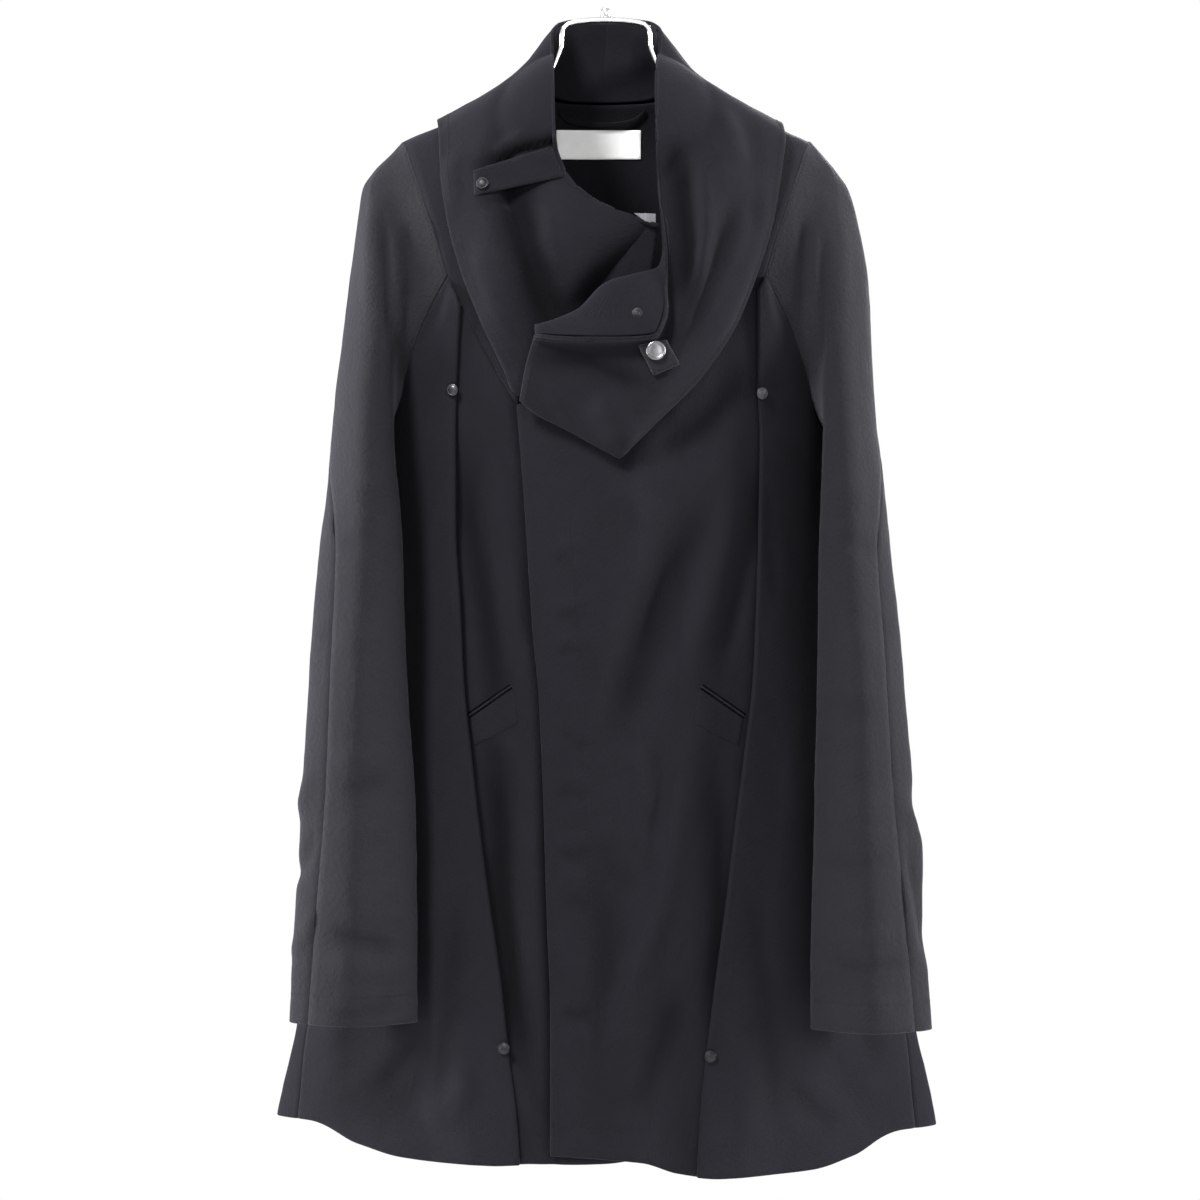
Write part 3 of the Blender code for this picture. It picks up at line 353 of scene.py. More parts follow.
class StudioSettings(bpy.types.PropertyGroup):
    """Camera, lights and floor."""

    distance: length_setting("Camera distance", "From the coat's centre plane", 3.5)
    frame_width: length_setting("Frame width", "Width that the camera sees there", 1.056)
    centre_drop: length_setting("Camera drop", "Height of the camera below the hook", 0.5804)
    floor_drop: length_setting("Floor drop", "Height of the floor below the hook", 1.62)
    key: power_setting("High light", "Power of the high light, in front at the left", 276.0)
    rim: power_setting("Side lights", "Power of each light at the coat's sides", 240.0)
    front: power_setting("Front light", "Power of the light beside the camera", 50.0)
    back: power_setting("Back light", "Power of the light behind the coat", 150.0)
    surround: bpy.props.FloatProperty(name="Surround", description="Brightness of the pale room",
                                      default=1.0, min=0)


# ---- making pieces ---------------------------------------------------------------------------

# lengths in millimetres: the grid step over one of them is a step's share of that run
RUN = {"front": 720, "underlay": 36, "yoke_level": 16, "back": 640, "half_back": 240,
       "sleeve_round": 150, "collar": 470, "fall": 170, "stand": 110}
sheets = {}


def grid_step(context):
    """The distance between the points of a cloth piece, in millimetres."""
    return context.scene.coat_cloth.grid / MM


def add_piece(name, points, faces, finish, uv=None, sharp_angle=None, nap=None):
    """A mesh from points in millimetres, riding on the coat's one body."""
    mesh = bpy.data.meshes.new(name)
    mesh.from_pydata((points * MM).tolist(), [], faces)
    mesh.shade_smooth()
    if sharp_angle is not None:
        mesh.set_sharp_from_angle(angle=math.radians(sharp_angle))
    if uv is not None:
        corners = np.zeros(len(mesh.loops), int)
        mesh.loops.foreach_get("vertex_index", corners)
        layer = mesh.uv_layers.new(name="cloth")
        layer.data.foreach_set("uv", uv[corners].astype(np.float32).ravel())
    # the crease depth of each point, kept for the wool finish, which paints shade and highlight
    # from it
    if nap is not None:
        layer = mesh.attributes.new("nap", "FLOAT", "POINT")
        layer.data.foreach_set("value", nap.astype(np.float32))
    mesh.materials.append(finish)
    piece = bpy.data.objects.new(name, mesh)
    bpy.context.scene.collection.objects.link(piece)
    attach(piece, CARRIER)
    return piece


def grid_normals(points):
    across = np.gradient(points, axis=1)
    down = np.gradient(points, axis=0)
    return unit(np.cross(across, down))


def walked(points, axis):
    """The distance along a grid's lines, from its first row or column."""
    steps = np.linalg.norm(np.diff(points, axis=axis), axis=-1)
    start = np.zeros_like(np.take(steps, [0], axis=axis))
    return np.concatenate([start, np.cumsum(steps, axis=axis)], axis=axis)


def unevenness(points, size, seed, stretch=(1, 1, 1)):
    """Soft random height from -1 to 1 at each point, in waves of about that size."""
    places = (points / size * stretch + seed * 17.3).reshape(-1, 3)
    values = [noise.noise(Vector(spot)) for spot in places]
    return np.array(values).reshape(points.shape[:-1])


def near_line(line, x, drop):
    """Distance from a line through places (x, drop), and the share of the line walked there."""
    line = np.array(line, float)
    lengths = np.hypot(*np.diff(line, axis=0).T)
    total = lengths.sum()
    distance, share = np.full(x.shape, 1e9), np.zeros(x.shape)
    walked_to = 0.0
    for start, end, length in zip(line, line[1:], lengths):
        way = (end - start) / length
        along = np.clip((x - start[0]) * way[0] + (drop - start[1]) * way[1], 0, length)
        off = np.hypot(x - start[0] - along * way[0], drop - start[1] - along * way[1])
        nearer = off < distance
        distance = np.where(nearer, off, distance)
        share = np.where(nearer, (walked_to + along) / total, share)
        walked_to += length
    return distance, share


def crease_lift(creases, x, drop):
    """How far a piece's creases move it out; each is (width, height, place, place, ...)."""
    total = np.zeros(x.shape)
    for width, height, *line in creases:
        distance, share = near_line(line, x, drop)
        fade = ease(0, 0.3, share) * ease(1, 0.7, share)
        total += height * fade * np.exp(-(distance / width) ** 2)
    return total


def quads(index, flip):
    """Faces over a grid of point numbers."""
    a, b = index[:-1, :-1].ravel(), index[:-1, 1:].ravel()
    c, d = index[1:, 1:].ravel(), index[1:, :-1].ravel()
    order = (d, c, b, a) if flip else (a, b, c, d)
    return np.stack(order, axis=1).tolist()


def ring_faces(rings, flip):
    """Faces round a row of closed rings, with a cap at each end."""
    index = np.arange(rings[..., 0].size).reshape(rings.shape[:2])
    around = np.concatenate([index, index[:, :1]], axis=1)
    way = 1 if flip else -1
    return quads(around, flip) + [index[0][::way].tolist(), index[-1][::-way].tolist()]


def ring_uv(rings):
    return np.stack([walked(rings, 0), walked(rings, 1)], axis=-1).reshape(-1, 2) * MM


def border(rows, columns):
    """The places round a grid: top, end, bottom, start."""
    top = [(0, j) for j in range(columns - 1)]
    end = [(i, columns - 1) for i in range(rows - 1)]
    bottom = [(rows - 1, j) for j in range(columns - 1, 0, -1)]
    start = [(i, 0) for i in range(rows - 1, 0, -1)]
    return top + end + bottom + start


def make_sheet(name, points, finish, centre, thickness, lift=None, nap=None):
    """A closed sheet of cloth round a grid of middle points, with a rounded rim.

    centre is the place (x, y) that the sheet's outer face looks away from, and the last
    argument is how far the cloth lies in a crease (negative) or on a ridge at each point, from
    -1 to 1; the wool finish paints shade and highlight into the cloth's colour from it.
    """
    normals = grid_normals(points)
    away = points[..., :2] - np.asarray(centre)
    outside = 1 if (normals[..., :2] * away).sum() > 0 else -1
    if lift is not None:
        points = points + normals * outside * lift[..., None]
        normals = grid_normals(points)
    half = thickness / MM / 2
    rows, columns = points.shape[:2]
    count = rows * columns
    round_trip = border(rows, columns)
    i, j = np.array(round_trip).T
    inside_i, inside_j = np.clip(i, 1, rows - 2), np.clip(j, 1, columns - 2)
    outward = unit(points[i, j] - points[inside_i, inside_j])
    rim = points[i, j] + outward * half * 0.8
    faces_out = points + normals * half
    faces_in = points - normals * half
    places = np.concatenate([faces_out.reshape(-1, 3), faces_in.reshape(-1, 3), rim])
    index = np.arange(count).reshape(rows, columns)
    flip = outside < 0
    faces = quads(index, False) + quads(index + count, True)
    loop = index[i, j]
    ring = 2 * count + np.arange(len(rim))
    for low, high in ((loop, ring), (ring, loop + count)):
        a, b = low, np.roll(low, -1)
        c, d = np.roll(high, -1), high
        faces += np.stack((b, a, d, c), axis=1).tolist()
    uv = np.stack([walked(points, 1), walked(points, 0)], axis=-1) * MM
    flat_uv = uv.reshape(-1, 2)
    uv = np.concatenate([flat_uv, flat_uv, uv[i, j]])
    if nap is not None:
        nap = np.concatenate([nap.ravel(), nap.ravel(), nap[i, j]])
    piece = add_piece("cloth_" + name, places, faces, finish, uv, nap=nap)
    outer = faces_in if flip else faces_out
    sheets[name] = (outer, normals * outside)
    return piece


def inset_line(name, edge, inset):
    """A line on a sheet's outer face, a distance in from one of its edges, with its normals."""
    points, normals = sheets[name]
    if edge in ("top", "bottom"):
        points, normals = points.swapaxes(0, 1), normals.swapaxes(0, 1)
    if edge in ("end", "bottom"):
        points, normals = points[:, ::-1], normals[:, ::-1]
    lengths = walked(points, 1)
    line = [[np.interp(inset, far, row[:, k]) for k in range(3)]
            for far, row in zip(lengths, points)]
    turns = [[np.interp(inset, far, row[:, k]) for k in range(3)]
             for far, row in zip(lengths, normals)]
    return np.array(line), unit(np.array(turns))


trees = {}


def cloth_tree(name):
    if name not in trees:
        points = sheets[name][0]
        index = np.arange(points[..., 0].size).reshape(points.shape[:2])
        trees[name] = BVHTree.FromPolygons(points.reshape(-1, 3).tolist(), quads(index, False))
    return trees[name]


def on_cloth(name, x, drop, start=-1000.0):
    """The first place on a sheet's outer face behind y = start, and its normal, facing forward."""
    hit, normal, _, _ = cloth_tree(name).ray_cast(Vector((x, start, -drop)), Vector((0, 1, 0)))
    if hit is None:
        raise ValueError(f"nothing of {name} at {x}, {drop}")
    return np.array(hit), np.array(normal if normal.y < 0 else -normal)


# ---- finishes --------------------------------------------------------------------------------

def new_finish(name):
    finish = bpy.data.materials.new(name)
    finish.use_nodes = True
    tree = finish.node_tree
    return finish, tree, tree.nodes["Principled BSDF"]


def add_node(tree, kind, inputs=None, **settings):
    node = tree.nodes.new(kind)
    for key, value in settings.items():
        setattr(node, key, value)
    for socket, value in (inputs or {}).items():
        if isinstance(value, bpy.types.NodeSocket):
            tree.links.new(value, node.inputs[socket])
        else:
            node.inputs[socket].default_value = value
    return node


def scaled(colour, share):
    return tuple(min(1.0, part * share) for part in colour) + (1.0,)


def blend_colours(tree, factor, a, b):
    node = add_node(tree, "ShaderNodeMix", data_type="RGBA")
    for socket, value in ((0, factor), (6, a), (7, b)):
        if isinstance(value, bpy.types.NodeSocket):
            tree.links.new(value, node.inputs[socket])
        else:
            node.inputs[socket].default_value = value
    return node.outputs[2]


def spread(tree, value, low, high, to_low=0.0, to_high=1.0):
    node = add_node(tree, "ShaderNodeMapRange", {
        "Value": value, "From Min": low, "From Max": high, "To Min": to_low, "To Max": to_high})
    return node.outputs["Result"]


def bumps(tree, shader, layers):
    """Stacks heights as bump; each layer is (height, distance in metres, strength)."""
    normal = None
    for height, distance, strength in layers:
        inputs = {"Height": height, "Distance": distance, "Strength": strength}
        if normal is not None:
            inputs["Normal"] = normal
        normal = add_node(tree, "ShaderNodeBump", inputs).outputs["Normal"]
    tree.links.new(normal, shader.inputs["Normal"])


def wool_finish(name, colour, grain_size, twill, sheen, crepe):
    """Napped wool: a fine twill under short fibres, with soft clouds of lighter nap, and with shade
    and light painted along the creases: darker in their troughs, lighter on their ridges.

    crepe is the height of its pebbled surface, in metres.
    """
    finish, tree, shader = new_finish(name)
    cloth = add_node(tree, "ShaderNodeUVMap", uv_map="cloth").outputs["UV"]
    slant = add_node(tree, "ShaderNodeMapping",
                     {"Vector": cloth, "Rotation": (0, 0, 0.45), "Scale": (1, 0.6, 1)})
    fibres = add_node(tree, "ShaderNodeTexNoise", {
        "Vector": slant.outputs[0], "Scale": 1 / grain_size, "Detail": 3.0, "Roughness": 0.65})
    lines = add_node(tree, "ShaderNodeTexWave", {
        "Vector": cloth, "Scale": 230.0, "Distortion": 3.0, "Detail": 2.0,
        "Detail Scale": 1.5}, bands_direction="DIAGONAL")
    clouds = add_node(tree, "ShaderNodeTexNoise", {
        "Vector": cloth, "Scale": 34.0, "Detail": 4.0, "Roughness": 0.6})
    felt = add_node(tree, "ShaderNodeTexNoise", {
        "Vector": cloth, "Scale": 190.0, "Detail": 2.0, "Roughness": 0.6})
    grain = spread(tree, fibres.outputs["Fac"], 0.3, 0.7)
    wool = blend_colours(tree, grain, scaled(colour, 0.66), scaled(colour, 1.4))
    wool = blend_colours(tree, spread(tree, lines.outputs["Fac"], 0, 1, 0, twill), wool,
                         scaled(colour, 1.6))
    # random soft clouds of lighter nap, the wool's own tone
    nap = spread(tree, clouds.outputs["Fac"], 0.3, 0.7, 0, 0.55)
    wool = blend_colours(tree, nap, wool, scaled(colour, 1.35))
    # painted shade and painted highlight: the colour is darkened in the troughs of the creases and
    # lightened on their ridges, by each point's crease depth
    painted_crease_shade = add_node(tree, "ShaderNodeAttribute", attribute_name="nap").outputs["Fac"]
    wool = blend_colours(tree, spread(tree, painted_crease_shade, 0, -1, 0, 0.75), wool, scaled(colour, 0.3))
    wool = blend_colours(tree, spread(tree, painted_crease_shade, 0, 1, 0, 0.4), wool, scaled(colour, 1.6))
    tree.links.new(wool, shader.inputs["Base Color"])
    rough = spread(tree, fibres.outputs["Fac"], 0.3, 0.7, 0.98, 0.8)
    tree.links.new(rough, shader.inputs["Roughness"])
    shader.inputs["Specular IOR Level"].default_value = 0.03
    shader.inputs["Sheen Weight"].default_value = sheen
    shader.inputs["Sheen Roughness"].default_value = 0.45
    shader.inputs["Sheen Tint"].default_value = (0.86, 0.87, 1.0, 1.0)
    bumps(tree, shader, (
        (felt.outputs["Fac"], crepe, 0.6), (fibres.outputs["Fac"], 0.0005, 0.6),
        (lines.outputs["Fac"], 0.0003, 0.35)))
    return finish


def thread_finish(name, colour):
    """Sewing thread, a little shinier than the wool, uneven along each stitch."""
    finish, tree, shader = new_finish(name)
    spot = add_node(tree, "ShaderNodeTexCoord").outputs["Object"]
    twist = add_node(tree, "ShaderNodeTexNoise", {
        "Vector": spot, "Scale": 900.0, "Detail": 2.0, "Roughness": 0.6})
    shade = blend_colours(tree, spread(tree, twist.outputs["Fac"], 0.3, 0.7),
                          scaled(colour, 0.6), scaled(colour, 2.0))
    tree.links.new(shade, shader.inputs["Base Color"])
    tree.links.new(spread(tree, twist.outputs["Fac"], 0.3, 0.7, 0.7, 0.9),
                   shader.inputs["Roughness"])
    shader.inputs["Specular IOR Level"].default_value = 0.12
    bumps(tree, shader, ((twist.outputs["Fac"], 0.0002, 0.5),))
    return finish


# radians that a wave texture turns through in one unit at a scale of 1
WAVE_TURN = 20


def woven_finish(name, colour, rib, rib_height, roughness, shine):
    """Smooth narrow weaving: ribs across the piece and finer threads along it."""
    finish, tree, shader = new_finish(name)
    cloth = add_node(tree, "ShaderNodeUVMap", uv_map="cloth").outputs["UV"]
    scale = 2 * math.pi / WAVE_TURN / rib
    ribs = add_node(tree, "ShaderNodeTexWave", {
        "Vector": cloth, "Scale": scale, "Distortion": 0.6, "Detail": 1.0},
        bands_direction="X")
    threads = add_node(tree, "ShaderNodeTexWave", {
        "Vector": cloth, "Scale": scale * 1.7, "Distortion": 0.8, "Detail": 1.0},
        bands_direction="Y")
    soil = add_node(tree, "ShaderNodeTexNoise", {
        "Vector": cloth, "Scale": 120.0, "Detail": 4.0, "Roughness": 0.6})
    shade = blend_colours(tree, ribs.outputs["Fac"], scaled(colour, 0.86), scaled(colour, 1.06))
    shade = blend_colours(tree, spread(tree, soil.outputs["Fac"], 0.35, 0.7, 0, 0.35), shade,
                          scaled(colour, 0.8))
    tree.links.new(shade, shader.inputs["Base Color"])
    tree.links.new(spread(tree, soil.outputs["Fac"], 0.3, 0.7, roughness - 0.08,
                          roughness + 0.1), shader.inputs["Roughness"])
    shader.inputs["Specular IOR Level"].default_value = shine
    bumps(tree, shader, ((ribs.outputs["Fac"], rib_height, 0.6),
                         (threads.outputs["Fac"], rib_height * 0.6, 0.5)))
    return finish


def metal_finish(name, colour, roughness, scratch_scale, wear):
    """Metal with fine drawn scratches and uneven polish."""
    finish, tree, shader = new_finish(name)
    spot = add_node(tree, "ShaderNodeTexCoord").outputs["Object"]
    drawn = add_node(tree, "ShaderNodeMapping", {"Vector": spot, "Scale": scratch_scale})
    scratches = add_node(tree, "ShaderNodeTexNoise", {
        "Vector": drawn.outputs[0], "Scale": 60.0, "Detail": 5.0, "Roughness": 0.7})
    smudges = add_node(tree, "ShaderNodeTexNoise", {
        "Vector": spot, "Scale": 90.0, "Detail": 3.0, "Roughness": 0.6})
    edge = spread(tree, smudges.outputs["Fac"], 0.35, 0.75, 0, wear)
    shade = blend_colours(tree, edge, scaled(colour, 1.0), scaled(colour, 0.55))
    tree.links.new(shade, shader.inputs["Base Color"])
    uneven = spread(tree, scratches.outputs["Fac"], 0.3, 0.7, roughness * 0.7, roughness * 1.5)
    tree.links.new(uneven, shader.inputs["Roughness"])
    shader.inputs["Metallic"].default_value = 1.0
    bumps(tree, shader, ((scratches.outputs["Fac"], 0.0001, 0.35),))
    return finish


# how scratches are stretched: not at all, or along the drawn strip
EVEN_SCRATCHES = (1, 1, 1)
DRAWN_SCRATCHES = (0.06, 1, 1)
finishes = {}


def finish_for(context, name):
    """The finishes, each made once from the colour settings."""
    if not finishes:
        colours = context.scene.coat_colours
        finishes.update(
            body=wool_finish("wool_body", colours.body, grain_size=0.0011, twill=0.25,
                             sheen=0.022, crepe=0.0009),
            # the sleeve wool's lighter colour is painted light for the side lights on the sleeves;
            # it is also used for the pocket jets, the collar's rolled cords and the tab
            sleeve=wool_finish("wool_sleeve", colours.sleeve, grain_size=0.0014, twill=0.5,
                               sheen=0.04, crepe=0.0018),
            # near-black wool without sheen, for the painted shade along the pockets' slits
            mouth=wool_finish("wool_mouth", colours.mouth, grain_size=0.0011, twill=0.25,
                              sheen=0.0, crepe=0.0005),
            thread=thread_finish("thread", colours.thread),
            tape=woven_finish("tape_ribbed", colours.tape, rib=0.0011, rib_height=0.0003,
                              roughness=0.7, shine=0.04),
            label=woven_finish("label_satin", colours.label, rib=0.0007, rib_height=0.00012,
                               roughness=0.5, shine=0.5),
            care=woven_finish("label_care", colours.care_label, rib=0.0007, rib_height=0.0001,
                              roughness=0.7, shine=0.2),
            snap=metal_finish("snap_dark", colours.snap, 0.42, EVEN_SCRATCHES, wear=0.3),
            grey=metal_finish("snap_grey", colours.grey, 0.45, EVEN_SCRATCHES, wear=0.3),
            silver=metal_finish("snap_silver", colours.silver, 0.3, EVEN_SCRATCHES, wear=0.5),
            hanger=metal_finish("hanger_steel", colours.hanger, 0.16, DRAWN_SCRATCHES, wear=0.25))
    return finishes[name]


# ---- creases and the cut of each cloth piece -------------------------------------------------

# each crease is (width, height, places (x, drop) along it); the height is negative in a trough.
# A name that ends in _centre holds the creases of a front's middle, inside its pleat.
CREASES = {
    "front_left": (
        (12, 2.4, (42, 512), (18, 494), (-6, 486)),
        (14, 3.5, (150, 520), (158, 660), (168, 820)),
        (11, -4.1, (176, 560), (186, 700), (196, 880)),
        (16, 3.2, (222, 760), (236, 880), (250, 1010)),
        (11, -3.4, (128, 820), (138, 930), (142, 1050)),
        (12, 3.5, (112, 900), (120, 980), (124, 1060)),
        (14, 2.9, (190, 930), (214, 980), (238, 1020)),
        (9, -2.7, (150, 990), (176, 1020), (204, 1040)),
        (8, -2.5, (136, 470), (142, 540), (150, 600))),
    "front_left_centre": (
        (16, -7.0, (98, 470), (82, 510), (62, 545), (43, 590), (29, 630), (12, 675), (-6, 720)),
        (14, 5.4, (120, 446), (108, 500), (93, 552), (79, 596), (66, 640), (54, 690)),
        (9, -4.5, (130, 440), (124, 533), (113, 578), (103, 624), (96, 670)),
        (10, 5.8, (66, 690), (59, 740), (54, 790), (48, 840), (28, 882), (10, 924), (0, 980),
         (-8, 1030)),
        (12, -7.0, (90, 690), (97, 780), (99, 856), (94, 915), (88, 980)),
        (12, -4.8, (70, 905), (54, 948), (38, 980), (18, 1030)),
        (10, -2.4, (-14, 780), (4, 806), (24, 840)),
        (8, 2.7, (22, 700), (30, 730), (34, 770)),
        (8, -2.4, (38, 700), (44, 740), (40, 790)),
        (9, -3.3, (64, 384), (40, 424), (10, 462), (-20, 452)),
        (13, -5.0, (116, 362), (105, 392), (89, 417), (62, 440), (36, 458)),
        (16, -4.5, (-16, 780), (-2, 850), (4, 910), (2, 960), (-6, 1050)),
        (4.5, 2.0, (-42, 534), (-34, 529), (-24, 531), (-16, 538)),
        (4, -2.0, (-46, 548), (-36, 544), (-24, 548)),
        (4, 1.7, (-44, 586), (-32, 582), (-18, 585)),
        (4.5, -2.0, (-45, 596), (-31, 594), (-15, 600)),
        (5, 1.7, (-44, 614), (-30, 612), (-12, 620)),
        (4, -2.2, (-43, 625), (-28, 622), (-14, 628)),
        (5, 2.0, (-44, 684), (-30, 690), (-16, 702)),
        (4.5, -2.4, (-40, 690), (-26, 698), (-14, 710)),
        (6, 2.0, (-44, 735), (-30, 730), (-14, 736)),
        (5, -2.0, (-44, 748), (-28, 744), (-12, 748)),
        (6, 2.0, (-44, 778), (-28, 784), (-12, 780)),
        (5, -2.2, (-44, 794), (-28, 800), (-12, 792)),
        (6, 1.9, (-44, 812), (-30, 816), (-16, 810)),
        (7, -2.0, (-44, 842), (-28, 838), (-12, 844)),
        (6, 2.0, (-44, 886), (-26, 892), (-12, 886)),
        (6, -2.5, (-40, 930), (-24, 936), (-10, 926)),
        (7, 2.0, (-40, 952), (-26, 948), (-10, 954))),
    "front_right": (
        (16, 3.5, (-150, 500), (-158, 650), (-168, 820)),
        (12, -4.4, (-178, 540), (-188, 700), (-200, 880)),
        (16, 3.5, (-224, 740), (-238, 880), (-250, 1010)),
        (10, -3.4, (-124, 820), (-134, 930), (-140, 1040)),
        (13, 3.5, (-112, 980), (-132, 1010), (-158, 1034)),
        (12, 2.9, (-170, 940), (-204, 990), (-236, 1020)),
        (9, -2.7, (-146, 940), (-172, 980), (-200, 1010)),
        (6, 1.6, (-166, 440), (-172, 500), (-180, 560))),
    "front_right_centre": (
        (12, -8.5, (-122, 420), (-114, 520), (-107, 560), (-97, 615), (-94, 660), (-98, 730)),
        (11, 4.8, (-96, 440), (-90, 500), (-82, 560), (-76, 612), (-70, 664)),
        (8, -3.0, (-78, 480), (-72, 560), (-66, 640)),
        (13, -11.0, (-100, 660), (-91, 745), (-88, 790), (-86, 840), (-79, 888), (-76, 930),
         (-70, 1020)),
        (9, 3.6, (-68, 700), (-66, 770), (-66, 850), (-66, 910), (-66, 960)),
        (8, 2.4, (-100, 694), (-86, 704), (-72, 712)),
        (8, 3.1, (-92, 960), (-76, 990), (-62, 1030)),
        (6, -5.5, (-80, 200), (-74, 425), (-69.5, 475), (-66.5, 518), (-63, 573), (-60, 616),
         (-55.5, 660), (-51.5, 750), (-48, 863), (-45.5, 930), (-45.5, 1200)),
        (6, 1.9, (-84, 540), (-78, 580), (-74, 620))),
    "back": (
        (14, 3.1, (30, 260), (60, 420), (74, 600)),
        (12, -3.4, (-34, 240), (-70, 420), (-90, 620)),
        (16, 3.9, (110, 520), (130, 720), (148, 960)),
        (15, -3.6, (-130, 560), (-150, 760), (-170, 1000)),
        (17, 3.4, (-20, 620), (-40, 800), (-46, 1010)),
        (14, -3.1, (40, 640), (52, 820), (60, 1030)),
        (10, 2.9, (-140, 330), (-120, 380), (-90, 420)),
        (9, -2.9, (140, 340), (118, 392), (84, 430)),
        (18, 3.4, (200, 700), (220, 880), (236, 1030)),
        (18, -3.1, (-210, 700), (-232, 880), (-244, 1030)),
        (9, 2.1, (-60, 460), (-40, 520), (-36, 600)),
        (8, -2.1, (20, 480), (8, 560), (10, 640))),
    "sleeve_front_left": (
        (4.5, -2.8, (169, 236), (171, 270), (170, 310), (168, 344)),
        (4.5, 2.4, (181, 248), (181, 290), (179, 330), (175, 366)),
        (4, -3.2, (187, 258), (187, 310), (186, 356), (184, 400)),
        (7, 1.7, (206, 236), (204, 290), (205, 350)),
        (8, 1.4, (196, 470), (208, 490), (226, 500)),
        (8, -1.6, (196, 520), (212, 534), (232, 538)),
        (9, 1.6, (196, 600), (212, 616), (238, 622)),
        (9, -1.6, (188, 660), (208, 674), (232, 672)),
        (9, 1.7, (186, 740), (208, 752), (238, 746)),
        (8, -1.8, (184, 796), (210, 806), (246, 798)),
        (7, 2.0, (184, 858), (214, 866), (250, 860)),
        (6, -2.2, (184, 884), (216, 892), (262, 886)),
        (8, 2.4, (186, 916), (214, 924), (250, 920))),
    "sleeve_front_right": (
        (4, -3.4, (-194, 240), (-191, 275), (-188, 320), (-184, 366)),
        (4.5, 2.6, (-184, 250), (-180, 300), (-178, 346), (-176, 380)),
        (4.5, -2.8, (-174, 246), (-170, 295), (-167, 340)),
        (7, 2.0, (-208, 232), (-206, 280), (-206, 340)),
        (8, 1.6, (-188, 470), (-206, 486), (-228, 490)),
        (8, -1.6, (-190, 520), (-210, 532), (-234, 530)),
        (10, 1.7, (-186, 600), (-208, 612), (-238, 610)),
        (9, 2.0, (-184, 700), (-204, 712), (-236, 716)),
        (8, -2.6, (-182, 732), (-200, 738), (-224, 744)),
        (8, 1.7, (-180, 770), (-202, 774), (-236, 768)),
        (8, 1.6, (-172, 820), (-200, 830), (-236, 822)),
        (7, -3.6, (-176, 880), (-186, 877), (-200, 871), (-222, 864), (-238, 860)),
        (9, 3.6, (-170, 896), (-190, 894), (-206, 892), (-226, 888), (-240, 886)),
        (7, -2.6, (-172, 922), (-190, 928), (-214, 932), (-236, 934)),
        (6, 1.4, (-172, 850), (-196, 846), (-222, 842))),
    "sleeve_back_left": (
        (4.5, 3.6, (250, 740), (259, 766), (268, 792), (281, 850)),
        (4, -3.9, (256, 776), (262, 816), (271, 868), (276, 900)),
        (4, 2.5, (250, 800), (256, 850), (264, 900)),
        (5, -3.3, (262, 730), (272, 776), (282, 820)),
        (9, 2.5, (196, 480), (216, 520), (240, 540)),
        (9, -2.7, (196, 560), (220, 600), (248, 610)),
        (10, 2.5, (192, 680), (216, 720), (250, 730))),
    "sleeve_back_right": (
        (5, 3.4, (-250, 720), (-258, 748), (-270, 772), (-280, 800)),
        (4.5, -3.3, (-246, 770), (-256, 800), (-270, 830)),
        (5, 2.5, (-244, 840), (-256, 866), (-270, 890)),
        (9, 2.5, (-196, 470), (-218, 510), (-244, 530)),
        (9, -2.7, (-192, 570), (-218, 600), (-250, 620)),
        (10, 2.5, (-188, 690), (-216, 724), (-236, 740))),
    "collar_fall_left": (
        (10, -12.0, (58, 176), (63, 212), (66, 244), (69, 276), (67, 306), (56, 344)),
        (6, 4.5, (82, 196), (84, 240), (84, 270), (80, 300), (70, 332)),
        (9, -7.5, (114, 220), (104, 262), (94, 294), (85, 318), (74, 346), (54, 380)),
        (9, 4.4, (122, 240), (118, 270), (110, 304), (96, 338), (76, 370)),
        (10, -6.5, (-70, 372), (-40, 377), (-10, 381), (20, 393), (46, 402)),
        (14, 4.4, (-12, 406), (6, 426), (18, 452)),
        (4.5, 2.9, (139, 200), (134, 258), (121, 297), (101, 344), (76, 382)),
        (4, -2.2, (129, 206), (123, 262), (111, 296), (92, 338), (68, 374)),
        (8, 3.1, (96, 150), (108, 180), (118, 214)),
        (9, -2.2, (118, 150), (126, 186), (126, 226))),
    "collar_fall_right": (
        (15, -16.0, (-98, 176), (-84, 218), (-75, 250), (-67, 282), (-57, 314), (-43, 348),
         (-26, 384)),
        (13, 4.0, (-50, 206), (-46, 240), (-44, 275), (-38, 305)),
        (15, -17.0, (100, 232), (57, 270), (38, 285), (18, 299), (0, 315), (-18, 333),
         (-40, 352)),
        (9, 2.4, (-108, 262), (-104, 300), (-94, 334), (-80, 360)),
        (5, 4.4, (-98, 202), (-90, 192), (-78, 185), (-62, 180)),
        (5, -9.0, (-118, 211), (-92, 201), (-66, 193), (-44, 187), (-20, 180)),
        (5, -4.0, (-114, 240), (-92, 236), (-66, 229), (-42, 222)),
        (8, 3.1, (-128, 190), (-134, 214), (-128, 250)),
        (4, 1.7, (-60, 400), (-70, 396), (-80, 386))),
    "yoke_left": ((6, -1.2, (84, 180), (92, 250), (100, 320)),),
    "yoke_right": ((6, -1.2, (-84, 180), (-92, 250), (-100, 320)),),
}

# depth of a crease at which the shade painted into the wool is darkest
CREASE_SHADE_DEPTH = 10.0
# lengths of the cloth's soft unevenness
LONG_WAVE, SHORT_WAVE = 46.0, 17.0


